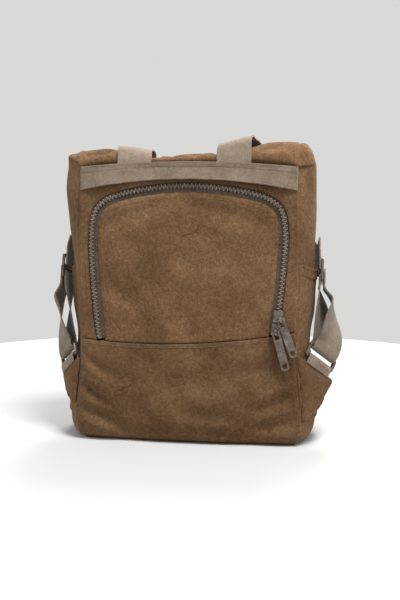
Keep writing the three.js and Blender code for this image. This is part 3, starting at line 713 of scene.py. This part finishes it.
def door_place(u, v):
    u, v = crowded(u), crowded(v)
    top = beside_arch(lerp(DOOR_CORNER, 1 - DOOR_CORNER, u), -DOOR_INSET, 0)
    foot_x = lerp(door_outline[0].x, door_outline[-1].x, u)
    z = lerp(seam_z(foot_x) + GAP, top.z, v)
    outward = 2 * u - 1
    hand = -1 if outward < 0 else 1
    foot = door_outline[0] if hand < 0 else door_outline[-1]
    leg_end = beside_arch(DOOR_CORNER if hand < 0 else 1 - DOOR_CORNER, -DOOR_INSET, 0)
    bend = door_edge_x(hand, lerp(foot.z, leg_top, v)) - lerp(foot.x, leg_end.x, v)
    x = lerp(foot_x, top.x, v) + bend * abs(outward) ** 3
    return front_cloth(x, z)


door = panel("door", "front_door", door_place, 110, 90, FRONTWARD)
print("door", len(door.data.vertices), "points")

# %% [markdown]
# Between the zip and the outer seams runs one strip of cloth in the shape of a horseshoe. Its grid
# bends with it: columns stand across the strip all the way round.

# %% Frame round the zip
def frame_place(u, v):
    """The strip runs up the left side, across the top and down the right side."""
    v = crowded(v)
    leg, top = 0.29, 0.42
    low_left, low_right = seam_z(-HALF_FRONT) + GAP, seam_z(HALF_FRONT) + GAP
    if u <= leg:
        share = corner_share * u / leg
        z = lerp(low_left, WALL_HEIGHT, u / leg)
        x = -section(z)[0]
    elif u <= leg + top:
        across = (u - leg) / top
        share = lerp(corner_share, 1 - corner_share, across)
        x = lerp(-1, 1, across) * TOP_HALF
        z = front_top(x) - front_top(TOP_HALF) + WALL_HEIGHT
    else:
        share = 1 - corner_share * (1 - u) / leg
        z = lerp(low_right, WALL_HEIGHT, (1 - u) / leg)
        x = section(z)[0]
    inner = beside_arch(share, FRAME_INSET, 0)
    if u < 1e-6 or u > 1 - 1e-6:
        inner.z = seam_z(inner.x) + GAP
    return front_cloth(lerp(inner.x, x, v), lerp(inner.z, z, v))


frame_panel = panel("zip_frame", "front_frame", frame_place, 300, 14, FRONTWARD)
print("frame", len(frame_panel.data.vertices), "points")

# %% [markdown]
# Padded cloth swells between its seams. A piece settles as cloth under slight air pressure, held
# where it is sewn, with a cap on how far each point may move. Spare cloth lets it ripple.

# %% Letting cloth swell
CLOTH_FRAMES = 20


def swollen(piece, pressure, cap, held=None, spare=0.0):
    cloth = piece.modifiers.new("cloth", "CLOTH")
    settings = cloth.settings
    settings.quality = 5
    settings.mass = 0.1
    settings.bending_stiffness = 0.2
    settings.tension_stiffness = 5
    settings.compression_stiffness = 5
    settings.use_pressure = True
    settings.uniform_pressure_force = pressure
    settings.effector_weights.gravity = 0
    settings.shrink_min = -spare
    if held:
        sewn = piece.vertex_groups.new(name="sewn")
        sewn.add([vert.index for vert in piece.data.vertices if held(vert.co / MM)], 1.0, "REPLACE")
        settings.vertex_group_mass = "sewn"
    for number in range(1, CLOTH_FRAMES + 1):
        scene.frame_set(number)
    settled = piece.evaluated_get(bpy.context.evaluated_depsgraph_get())
    mesh = settled.to_mesh()
    ends = [vert.co.copy() for vert in mesh.vertices]
    settled.to_mesh_clear()
    piece.modifiers.remove(cloth)
    scene.frame_set(1)
    farthest = 0
    for vert, end in zip(piece.data.vertices, ends):
        move = end - vert.co
        farthest = max(farthest, move.length / MM)
        vert.co += move * min(1, cap * MM / max(move.length, 1e-9))
    print(piece.name, "swelled by up to", round(farthest, 1), "mm, kept to", cap)


# %% [markdown]
# The sides are strips that bulge between the front and back seams. The back is a padded panel, with
# two sewn channels for air.

# %% Sides
def side_cloth(share, z, hand, off=0.0):
    point = side_point(share, min(z, WALL_HEIGHT), hand)
    point.z = z
    length = BODY_DEPTH - 10
    away = min(share * length, (1 - share) * length)
    calm = min(away / 12, 1)
    outward = off + calm * waves(Vector((point.y * hand, 60 * hand, z)), 1.5, 0.4)
    outward += pucker(Vector((away, hand * 30, z)), away)
    outward -= turned_in(away, 2.6, 2.1)
    point.x += outward
    return Vector((hand * point.x, point.y, point.z))


def hump(share):
    """How full the soft top is at a share of the way from its front edge to its back edge."""
    return max(4 * share * (1 - share), 0) ** 0.42


for hand, hand_name in HANDS:
    end_rise = max(crest_at(hand)[0] * TOP_RISE - WALL, 0) + 1.6

    def gusset_place(u, v):
        u = crowded(u)
        return side_cloth(u, lerp(PANEL_FOOT, WALL_HEIGHT + end_rise * hump(u), v ** 1.2), hand)

    panel("side_" + hand_name, "gusset_" + hand_name, gusset_place, 56, 130, Vector((hand, 0, 0)))
print("sides made, fullest at", round(side_cloth(0.5, 60, 1).x, 1), "mm")

# %% Back
channel_rows = (96, 196)
CHANNEL_RISE = 8


def above_channel(x, z, row, half):
    """How far a point stands above a channel, which rises towards both sides."""
    return z - row - CHANNEL_RISE * (x / half) ** 2


def back_place(u, v):
    u = crowded(u, 0.4)
    z = lerp(PANEL_FOOT, WALL_HEIGHT, v ** 1.2)
    half = section(z)[0]
    x = (2 * u - 1) * half
    away = min(half - abs(x), WALL_HEIGHT - z)
    groove = sum(2.2 * bell(above_channel(x, z, row, half), 3.2) for row in channel_rows)
    plump = 1.6 * (1 - (x / half) ** 4)
    y = back_y(x, z) + plump - groove - turned_in(away, 4, 2.6)
    return Vector((x, y + 0.8 * waves(Vector((x, 90, z))), z))


# The back's darker suede is painted shade.
back = panel("back_pad", "back_panel", back_place, 110, 130, BACKWARD, suede_dark_shade, None)


def back_held(at):
    """Sewn at its borders and along its channels."""
    half = section(min(at.z, WALL_HEIGHT))[0]
    near_channel = min(abs(above_channel(at.x, at.z, row, half)) for row in channel_rows) < 2.5
    return near_channel or half - abs(at.x) < 5 or at.z < 8 or at.z > WALL_HEIGHT - 5


swollen(back, 3, 2.2, back_held, 0.03)
thicken(back, BACK_WALL)
print("back", len(back.data.vertices), "points")

# %% [markdown]
# The top is a soft pillow from the front edge to the back edge. It dips where the straps press on
# it, so its crest has a table of its own.

# %% Soft top
TOP_SPREAD = 0.86


def top_place(u, v):
    v = crowded(v, 0.4)
    across = math.sin((u - 0.5) * math.pi * TOP_SPREAD) / math.sin(0.5 * math.pi * TOP_SPREAD)
    x = across * (TOP_HALF + side_bulge(v, WALL_HEIGHT, -1 if across < 0 else 1))
    y = lerp(front_y(x, WALL_HEIGHT), back_y(x, WALL_HEIGHT), v)
    (crest,) = crest_at(across)
    edge = WALL_HEIGHT + GAP + (front_top(min(abs(x), HALF_FRONT)) - WALL_HEIGHT) * (1 - v) ** 2
    z = edge + WALL + (crest * TOP_RISE - WALL) * hump(v)
    inside = max(1 - abs(across) ** 8, 0)
    point = Vector((x, y, z))
    point.z += hump(v) * inside * (waves(point, 1.6, 0.7) - 0.6)
    point.z -= turned_in(min(min(v, 1 - v) * 90, (1 - abs(across)) * HALF_BODY), 3, 2.2)
    seam = abs(abs(x) - TOP_HALF + 1)
    point.z -= 1.5 * bell(seam, 1.5) * inside ** 0.2
    return point


top = panel("soft_top", "top_panel", top_place, 190, 56, UPWARD, suede, None)


def top_held(at):
    """Sewn at its borders and pressed by the straps."""
    under_straps = -84 < at.x < -36 or 27 < at.x < 75
    return (under_straps or abs(at.x) > 0.93 * HALF_BODY or at.z < WALL_HEIGHT + 6
            or abs(at.y - front_y(at.x, WALL_HEIGHT)) < 3
            or abs(at.y - back_y(at.x, WALL_HEIGHT)) < 3)


swollen(top, 3, 2.4, top_held, 0.04)
thicken(top, WALL)
print("top", len(top.data.vertices), "points")

# %% [markdown]
# The base is a plain plate. A copy of the imported solid is merged, its edges are rounded, and it
# takes the darker suede, a painted shade. The metal fittings are rounded in the same way.

# %% Rounded copies of imported solids
SHARP = 25


def bevelled(bm, edges, size, segments=2, limited=False):
    bmesh.ops.bevel(bm, geom=edges, offset=size, affect="EDGES", segments=segments, profile=0.5,
                    material=-1, clamp_overlap=limited)


def merged(node):
    """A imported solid's mesh, with its loose triangles joined."""
    bm = bmesh.new()
    bm.from_mesh(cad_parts[node].data)
    bmesh.ops.remove_doubles(bm, verts=bm.verts, dist=1e-5)
    return bm


def rounded_copy(node, name, material, radius, segments=2, body="bag"):
    """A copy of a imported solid, whose edges over SHARP degrees are rounded."""
    bm = merged(node)
    bmesh.ops.dissolve_limit(bm, angle_limit=math.radians(2), verts=bm.verts, edges=bm.edges)
    edges = [edge for edge in bm.edges if len(edge.link_faces) == 2
             and edge.calc_face_angle(0) > math.radians(SHARP)]
    bevelled(bm, edges, radius * MM, segments, limited=True)
    return make_piece(bm, name, material, body, [node], scale=1.0)


base = rounded_copy("base_panel", "base_plate", suede_dark_shade, 0.9)
print("base", len(base.data.polygons), "faces")

# %% [markdown]
# ## Zip
# The tape lies in the front's opening, and the teeth stand on it in two interlocking rows. Each
# tooth is a bevelled block: a few dozen faces, because there are hundreds.

# %% Tape and teeth
def tape_place(u, v):
    offset = lerp(-DOOR_INSET - 1.5, CHAIN_WIDTH / 2 + 2, v)
    return beside_arch(u, offset, TAPE_RECESS)


TAPE_WIDTH = 12
# Its dark cloth is partly painted shade of the groove beside the door.
tape = make_piece(facing(laid_grid(300, 4, tape_place, arch_length, TAPE_WIDTH), FRONTWARD),
                  "zip_tape_band", tape_cloth_shaded, instead_of=["zip_tape"])
thicken(tape, 1.0)

TOOTH_PITCH, TOOTH_STAGGER, TOOTH_RISE = 4.2, 0.6, 1.3
TOOTH_SIZE = (4.4, 2.5, 1.85)
TOOTH_NARROW, TOOTH_EDGE = 0.86, 0.42
teeth_count = int(arch_length / TOOTH_PITCH * 2)
bm = bmesh.new()
for i in range(teeth_count):
    hand = 1 if i % 2 else -1
    share = (i + 0.5) / teeth_count
    at, along = arch_at(share)
    across = Vector((-along.z, 0, along.x))
    centre = beside_arch(share, hand * TOOTH_STAGGER, TAPE_RECESS - TOOTH_RISE)
    basis = Matrix((across, Vector((0, 1, 0)), along)).transposed().to_4x4()
    basis.translation = centre
    made = bmesh.ops.create_cube(bm, size=1, matrix=basis @ Matrix.Diagonal((*TOOTH_SIZE, 1)))
    for vert in made["verts"]:
        if (vert.co - centre).dot(across) * hand < 0:
            vert.co = centre + (vert.co - centre) * TOOTH_NARROW
bevelled(bm, list(bm.edges), TOOTH_EDGE)
chain = make_piece(bm, "zip_teeth", teeth_plastic, instead_of=["zip_chain"])
print("teeth", teeth_count, "faces", len(chain.data.polygons))

# %% [markdown]
# Sliders and pulls are cast metal, so copies of the solids with rounded edges do. Each pull rides
# on a body of its own, because it swings.

# %% Sliders and pulls
for place in ("upper", "lower"):
    rounded_copy("zip_slider_" + place, "slider_" + place, coated_metal, 0.55)
    pull = rounded_copy("zip_pull_" + place, "pull_" + place, coated_metal, 0.5,
                        body="pull_" + place)
    print(pull.name, len(pull.data.polygons), "faces")

# %% [markdown]
# ## Webbing
# A flat strap is a grid along a curve. Each row of a strap's table has its centre and the way its
# outer face looks, in millimetres, so a strap can twist as it goes round the bag.

# %% A strap along a curve
STRAP_WIDTH, STRAP_THICKNESS, STRAP_STEP, STRAP_CROWN = 38, 1.6, 1.8, 0.25


def strap_curve(rows, steps):
    """Points, directions along, faces and length of a strap."""
    path, length = smooth_path([tuple(row) for row in rows], steps)
    places = []
    for i, row in enumerate(path):
        before, after = path[max(i - 1, 0)], path[min(i + 1, steps)]
        along = (Vector(after[:3]) - Vector(before[:3])).normalized()
        face = Vector(row[3:])
        face = (face - along * face.dot(along)).normalized()
        places.append((Vector(row[:3]), along, face))
    return places, length


def soft_edge(piece):
    """Rounds the cut edges of webbing."""
    edge = piece.modifiers.new("soft_edge", "BEVEL")
    edge.width = 0.4 * MM
    edge.segments = 2
    edge.limit_method = "ANGLE"


def strap_piece(name, rows, material, instead_of):
    """Makes a strap's piece and gives the strap's length."""
    rough = sum(apart(*pair) for pair in zip(rows, rows[1:]))
    steps = max(24, int(rough / STRAP_STEP))
    places, length = strap_curve(rows, steps)

    def place(u, v):
        at, along, face = places[round(v * steps)]
        across = face.cross(along)
        crown = STRAP_CROWN * (1 - (2 * u - 1) ** 2)
        fuzz = 0.12 * noise.noise(at / 9 + across * u)
        return at + across * (u - 0.5) * STRAP_WIDTH + face * (crown + fuzz)

    bm = laid_grid(12, steps, place, STRAP_WIDTH, length)
    bm.normal_update()
    bm.faces.ensure_lookup_table()
    if bm.faces[0].normal.dot(places[0][2]) < 0:
        bmesh.ops.reverse_faces(bm, faces=bm.faces)
    piece = make_piece(bm, name, material, instead_of=[instead_of])
    thicken(piece, STRAP_THICKNESS, 0.0)
    soft_edge(piece)
    return length


# %% The straps' tables
def mirrored(rows, hand):
    return [(hand * x, y, z, hand * nx, ny, nz) for x, y, z, nx, ny, nz in rows]


# Rows that both sides share, on the right hand: a strap's end at its slide, and a loop's two ends
strap_end = [
    (134.9, 55.2, 206, 0.8, 0.6, 0), (143.3, 30.2, 202, 0.97, 0.24, 0),
    (145.5, 5.1, 213.6, 1, 0.03, 0), (145.8, 2.8, 205.8, 1, 0.03, 0),
    (146, -0.9, 192.8, 1, 0.03, 0),
]
loop_start = [
    (151.2, -0.7, 192.8, 1, 0.03, 0), (151.3, -4.5, 179.6, 1, 0.03, 0),
    (151.6, -6.3, 173.4, 1, 0.03, 0),
]
loop_end = [
    (145.8, -6.5, 173.4, -1, -0.03, 0), (146.1, -4.7, 179.6, -1, -0.03, 0),
    (146, -2.7, 186.3, -1, -0.03, 0),
]
strap_rows = {
    "strap_left": [
        (-60, -42.1, 301.6, 0, -1, 0), (-60, -40.1, 313.6, 0, -1, 0.1),
        (-60, -36.6, 324.1, 0.07, -0.89, 0.45), (-61, -29.1, 330.9, 0.15, -0.37, 0.92),
        (-63, -6.2, 330.7, 0.11, 0, 0.99), (-67, 26.2, 327.5, 0.04, 0.33, 0.94),
        (-72, 55.2, 316, 0, 0.75, 0.66), (-78, 74.2, 282, 0.05, 0.94, 0.33),
        (-90, 85.2, 248, -0.15, 0.99, 0), (-112, 76.2, 220, -0.54, 0.84, -0.1),
        *mirrored(strap_end, -1),
    ],
    "strap_right": [
        (51, -42.9, 302, 0, -1, 0), (51, -40.8, 314, 0, -1, 0.1),
        (51, -37.3, 331, -0.13, -0.89, 0.44), (52, -29.8, 339.3, -0.26, -0.36, 0.9),
        (54, -6.2, 338.1, -0.2, 0, 0.98), (58, 26.2, 333.9, -0.08, 0.33, 0.94),
        (63, 55.2, 316, 0, 0.75, 0.66), (69, 74.2, 282, -0.05, 0.94, 0.33),
        (81, 85.2, 248, 0.15, 0.99, 0), (103, 76.2, 220, 0.54, 0.84, -0.1),
        *strap_end,
    ],
    "loop_left": [
        *mirrored(loop_start, -1), (-158.2, -8.5, 158.8, -1, 0.03, 0),
        (-155.1, -14.8, 134.8, -0.96, -0.28, 0.05), (-150.9, -18.4, 110.3, -0.82, -0.57, 0.1),
        (-147.8, -25, 98.9, -0.82, -0.57, 0.1), (-146.2, -25.7, 96.6, -0.41, -0.75, -0.52),
        (-143.8, -24.7, 95.4, 0.23, -0.49, -0.84), (-141.8, -22.6, 96, 0.74, 0.06, -0.67),
        (-141.6, -20.7, 98.2, 0.82, 0.57, -0.1), (-144.7, -14.1, 109.5, 0.82, 0.57, -0.1),
        (-145.4, -9.4, 144.6, 0.96, 0.28, -0.05), *mirrored(loop_end, -1),
    ],
    "loop_right": [
        *loop_start, (160.5, -8.8, 160.2, 1, 0.03, 0),
        (160, -15.9, 137.8, 0.93, -0.37, 0.04), (158.7, -19.7, 115.1, 0.7, -0.71, 0.08),
        (153.8, -25.7, 104, 0.7, -0.71, 0.08), (152.1, -26.1, 101.7, 0.24, -0.81, -0.53),
        (149.8, -24.7, 100.6, -0.36, -0.45, -0.82), (148.3, -22.3, 101.3, -0.75, 0.19, -0.64),
        (148.5, -20.3, 103.4, -0.7, 0.71, -0.08), (153.3, -14.3, 114.5, -0.7, 0.71, -0.08),
        (149.7, -9.5, 147, -0.93, 0.37, -0.04), *loop_end,
    ],
}

# %% Straps
strap_lengths = {}
for name, rows in strap_rows.items():
    solid = name.replace("strap_", "shoulder_strap_").replace("loop_", "strap_loop_")
    cloth = webbing if name.startswith("loop") else webbing_pale
    strap_lengths[name] = round(strap_piece(name, rows, cloth, solid))
print("strap lengths", strap_lengths)

# %% [markdown]
# The band across the front's top is narrower webbing, with its lower edge free. Its middle bows
# up and stands off the front, over the roots of the straps.

# %% Band across the top
BAND_WIDTH, BAND_THICKNESS, BAND_BOW, BAND_FOLD = 26, 1.6, 7, 8


def smoothstep(value, low, high):
    share = clamp((value - low) / (high - low))
    return share * share * (3 - 2 * share)


def band_place(u, v):
    x = (2 * crowded(u, 0.3) - 1) * (TOP_HALF - 0.6)
    crown = 1 - (x / HALF_FRONT) ** 2
    z = front_top(x) + 0.6 - (1 - v) * (BAND_WIDTH - BAND_BOW * crown)
    room = STRAP_THICKNESS + 1.2 + 2 * GAP
    stand_off = GAP + room * smoothstep(crown, 0.05, 0.4) + 1.5 * (1 - v) * crown + BAND_THICKNESS
    y = front_y(x, min(z, front_top(x))) - stand_off
    y -= 0.35 * noise.noise(Vector((x / 13, v * 1.2, 4)))
    fold = BAND_WIDTH - BAND_FOLD
    across = v * BAND_WIDTH
    valley = 0.3 * bell(across - fold, 0.8)
    y -= 0.5 * smoothstep(across, fold - 0.6, fold + 0.4) - valley
    y += turned_in(TOP_HALF - abs(x), 5, 3.2)
    return Vector((x, y, z + 0.25 * noise.noise(Vector((x / 9, 5, v)))))


band_grid = laid_grid(170, 26, band_place, FRONT_WIDTH, BAND_WIDTH)
band = make_piece(facing(band_grid, FRONTWARD),
                  "band", webbing, instead_of=["top_band"])
thicken(band, BAND_THICKNESS)
soft_edge(band)

# %% [markdown]
# ## Side pockets and wings
# A slip pocket lies on each side, with a wide hem at its mouth. Under the strap's loop a sewn wing
# holds the ring.

# %% Side pockets
POCKET_HEIGHT, POCKET_FALL, POCKET_FOOT, HEM = 0.671 * WALL_HEIGHT, 12, 26, 13
POCKET_THICKNESS, POCKET_RUN = 1.8, 88
# Distances of a pocket's edges from the side's front and back seams
pocket_insets = {"left": (21, 8), "right": (3, 8)}


def pocket_mouth(share):
    return POCKET_HEIGHT - POCKET_FALL * math.sin(math.pi * min(share, 0.5)) ** 0.8


pockets = {}
for hand, hand_name in HANDS:
    def pocket_place(u, v):
        u = crowded(u, 0.4)
        front_inset, back_inset = pocket_insets[hand_name]
        share = lerp(front_inset / BODY_DEPTH, 1 - back_inset / BODY_DEPTH, u)
        mouth = pocket_mouth(share)
        z = lerp(POCKET_FOOT, mouth, crowded(v, 0.4))
        off = 3 * GAP + 1.8 * math.sin(math.pi * u) * v ** 3 + POCKET_THICKNESS
        away = min(u, 1 - u) * POCKET_RUN
        below = mouth - z
        off -= turned_in(min(away, z - POCKET_FOOT), 2.6, 1.4) + turned_in(below, 1.2, 0.5)
        off += 0.7 * (1 - smoothstep(below, HEM - 1, HEM + 1))
        off -= 0.5 * bell(below - HEM, 1.1)
        off = lerp(0.4, off, smoothstep(u, 0, 0.18))
        return side_cloth(share, z, hand, off)

    pockets[hand_name] = panel("pocket_" + hand_name, "side_pocket_" + hand_name, pocket_place,
                               48, 150, Vector((hand, 0, 0)), suede, POCKET_THICKNESS)
print("pockets made")

# %% [markdown]
# A wire ring hangs in a short fold of webbing at each wing, and a cast slide sets the strap's
# length. The fold is a strap whose table is worked out from the ring's lower bar.

# %% Rings' webbing tabs
# The wing's directions along, up and outward, and the ring's centre, all on the right hand
hardware = {
    "left": ((0.528, 0.664, -0.529), (0.234, 0.485, 0.842),
             (0.816, -0.569, 0.101), (143.083, -26.129, 92.83)),
    "right": ((0.615, 0.549, -0.566), (0.357, 0.445, 0.821),
              (0.703, -0.707, 0.078), (148.735, -26.002, 98.116)),
}
RING_HEIGHT, RING_WIRE = 17, 3.4
TAB_RADIUS = RING_WIRE / math.sqrt(2) + GAP + STRAP_THICKNESS / 2


def tab_rows(up, outward, centre):
    bar = centre - up * (RING_HEIGHT - RING_WIRE) / 2

    def row(side_step, up_step, face):
        return (*(bar + outward * side_step + up * up_step), *face)

    tail_step, tail_drop = TAB_RADIUS * 0.75, -TAB_RADIUS - 5
    rows = [row(tail_step, tail_drop, outward), row(TAB_RADIUS, -2, outward)]
    for degrees in (0, 45, 90, 135, 180):
        angle = math.radians(degrees)
        out = outward * math.cos(angle) + up * math.sin(angle)
        rows.append((*(bar + out * TAB_RADIUS), *out))
    return rows + [row(-TAB_RADIUS, -2, -outward), row(-tail_step, tail_drop, -outward)]


for hand, hand_name in HANDS:
    _, up, outward, centre = (Vector(value) for value in hardware[hand_name])
    strap_piece("tab_" + hand_name, mirrored(tab_rows(up, outward, centre), hand), webbing,
                "ring_tab_" + hand_name)
    rounded_copy("ring_" + hand_name, "ring_wire_" + hand_name, coated_metal, 1.2, 3)
    rounded_copy("strap_slide_" + hand_name, "slide_" + hand_name, coated_metal, 0.8, 3)
print("tabs, rings and slides made")

# %% [markdown]
# The wings are small padded pieces. A copy of each solid is remeshed, its root is drawn towards the
# front seam, and it swells as cloth under slight pressure.

# %% Wings, swollen as cloth
def remeshed(node, name, voxel):
    """A closed copy of a solid, remeshed."""
    bm = merged(node)
    mesh = bpy.data.meshes.new(name + "_rough")
    bm.to_mesh(mesh)
    bm.free()
    rough = placed(name + "_rough", mesh)
    remesh = rough.modifiers.new("remesh", "REMESH")
    remesh.mode = "VOXEL"
    remesh.voxel_size = voxel * MM
    smooth = rough.modifiers.new("smooth", "SMOOTH")
    smooth.iterations = 2
    made = rough.evaluated_get(bpy.context.evaluated_depsgraph_get())
    bm = bmesh.new()
    bm.from_mesh(made.to_mesh())
    made.to_mesh_clear()
    bpy.data.objects.remove(rough)
    return bm


# The wing's front corners on the right hand: x and z of the upper one, then of the lower one
wing_roots = {"left": (125.652, 96.72, 132.145, 40.3), "right": (123.363, 106.95, 131.691, 26.35)}
WING_VOXEL, ROOT_DRAW, ROOT_REACH = 1.6, 2.4, 9
wings = {}
for hand, hand_name in HANDS:
    bm = remeshed("wing_" + hand_name, "wing_pad_" + hand_name, WING_VOXEL)
    top_x, top_z, low_x, low_z = wing_roots[hand_name]
    for vert in bm.verts:
        root_x = lerp(top_x, low_x, (top_z - vert.co.z / MM) / (top_z - low_z))
        nearness = max(1 - abs(hand * vert.co.x / MM - root_x) / ROOT_REACH, 0)
        vert.co.x -= hand * ROOT_DRAW * MM * nearness
    # The wing takes the darker suede, a painted shade.
    wing = make_piece(bm, "wing_pad_" + hand_name, suede_lower_shade,
                      instead_of=["wing_" + hand_name], scale=1.0)
    swollen(wing, 4, 0.9)
    finer = wing.modifiers.new("finer", "SUBSURF")
    finer.levels = finer.render_levels = 1
    wings[hand_name] = wing
    print(wing.name, len(wing.data.polygons), "faces")

# %% [markdown]
# ## Stitches
# A seam is held by rows of short stitches, each a small bevelled block that lies a little sunk in
# the cloth. A row follows a line of places with the way the cloth faces there.

# %% Helpers for stitches
STITCH_EDGE, RAY_REACH, SEAM_TO_STITCH = 0.16, 12, 4.5


def stitch_row(bm, line, pitch=3.4, long=2.4, thick=0.55):
    """Stitches along (place, facing) pairs that stand close together."""
    due = pitch / 2
    row = bmesh.new()
    for (here, face), (after, _) in zip(line, line[1:]):
        span = (after - here).length
        while due < span:
            along = (after - here).normalized()
            out = (face - along * face.dot(along)).normalized()
            basis = Matrix((along, along.cross(out), out)).transposed().to_4x4()
            basis.translation = here + along * due
            sized = basis @ Matrix.Diagonal((long, thick, thick, 1))
            bmesh.ops.create_cube(row, size=1, matrix=sized)
            due += pitch
        due -= span
    bevelled(row, list(row.edges), STITCH_EDGE)
    mesh = bpy.data.meshes.new("row")
    row.to_mesh(mesh)
    row.free()
    bm.from_mesh(mesh)
    bpy.data.meshes.remove(mesh)


def stitches(name, lines, material=thread, slot="suede", **sizes):
    """One piece of the stitches along several lines."""
    bm = bmesh.new()
    for line in lines:
        stitch_row(bm, line, **sizes)
    piece = make_piece(bm, name, material)
    print(name, len(piece.data.polygons), "faces")


def on_front(x, z):
    slope_x = front_cloth(x + 1, z).y - front_cloth(x - 1, z).y
    slope_z = front_cloth(x, z + 1).y - front_cloth(x, z - 1).y
    face = Vector((slope_x, -2, slope_z)).normalized()
    return front_cloth(x, z) + face * 0.1, face


def on_piece(piece, places, outward):
    """Where lines that come from outside, over some places, meet a piece."""
    tree = BVHTree.FromPolygons([vert.co / MM for vert in piece.data.vertices],
                                [list(face.vertices) for face in piece.data.polygons])
    hits = [tree.ray_cast(place + outward * RAY_REACH, -outward, 2 * RAY_REACH)[0]
            for place in places]
    return [(hit, outward) for hit in hits if hit is not None]


# %% Stitches on the front
lines = []
for offset in (CHAIN_WIDTH / 2 + SEAM_TO_STITCH, -DOOR_INSET - SEAM_TO_STITCH - 1):
    places = [beside_arch(share, offset, 0) for share in spread(0.012, 0.988, 500)]
    lines.append([on_front(place.x, place.z) for place in places])
xs = [share * HALF_FRONT for share in spread(-0.97, 0.97, 200)]
lines.append([on_front(x, seam_z(x) - SEAM_TO_STITCH) for x in xs])
stitches("front_stitches", lines)

# %% Stitches on the pockets and wings
for hand, hand_name in HANDS:
    front_inset, back_inset = pocket_insets[hand_name]
    shares = spread(front_inset / BODY_DEPTH + 0.02, 1 - back_inset / BODY_DEPTH - 0.02, 60)
    lines = []
    for below in (HEM - 2, 2.5):
        places = [side_cloth(share, pocket_mouth(share) - below, hand) for share in shares]
        lines.append(on_piece(pockets[hand_name], places, Vector((hand, 0, 0))))
    stitches("pocket_stitches_" + hand_name, lines)

WING_ROW_DROP, WING_ROW_HALF = 11.5, 34
for hand, hand_name in HANDS:
    along, up, outward, centre = (Vector(value) for value in hardware[hand_name])
    below_ring = centre - up * (RING_HEIGHT / 2 + WING_ROW_DROP)
    places = [below_ring + along * step for step in spread(-WING_ROW_HALF, WING_ROW_HALF, 80)]
    for vector in (*places, outward):
        vector.x *= hand
    stitches("wing_stitches_" + hand_name, [on_piece(wings[hand_name], places, outward)])

# %% Stitches on the band and the back
lines = [[(band_place(u, v), FRONTWARD) for u in spread(0.015, 0.985, 200)]
         for v in (0.05, 0.66, 0.95)]
stitches("band_stitches", lines, thread_pale, "webbing", pitch=3.0, long=2.1, thick=0.5)

CHANNEL_TO_STITCH = 5
lines = []
for row in channel_rows:
    half = section(row)[0]
    for off_groove in (-CHANNEL_TO_STITCH, CHANNEL_TO_STITCH):
        xs = [share * half for share in spread(-0.9, 0.9, 120)]
        places = [Vector((x, HALF_DEPTH, row + CHANNEL_RISE * (x / half) ** 2 + off_groove))
                  for x in xs]
        lines.append(on_piece(back, places, BACKWARD))
stitches("back_stitches", lines)
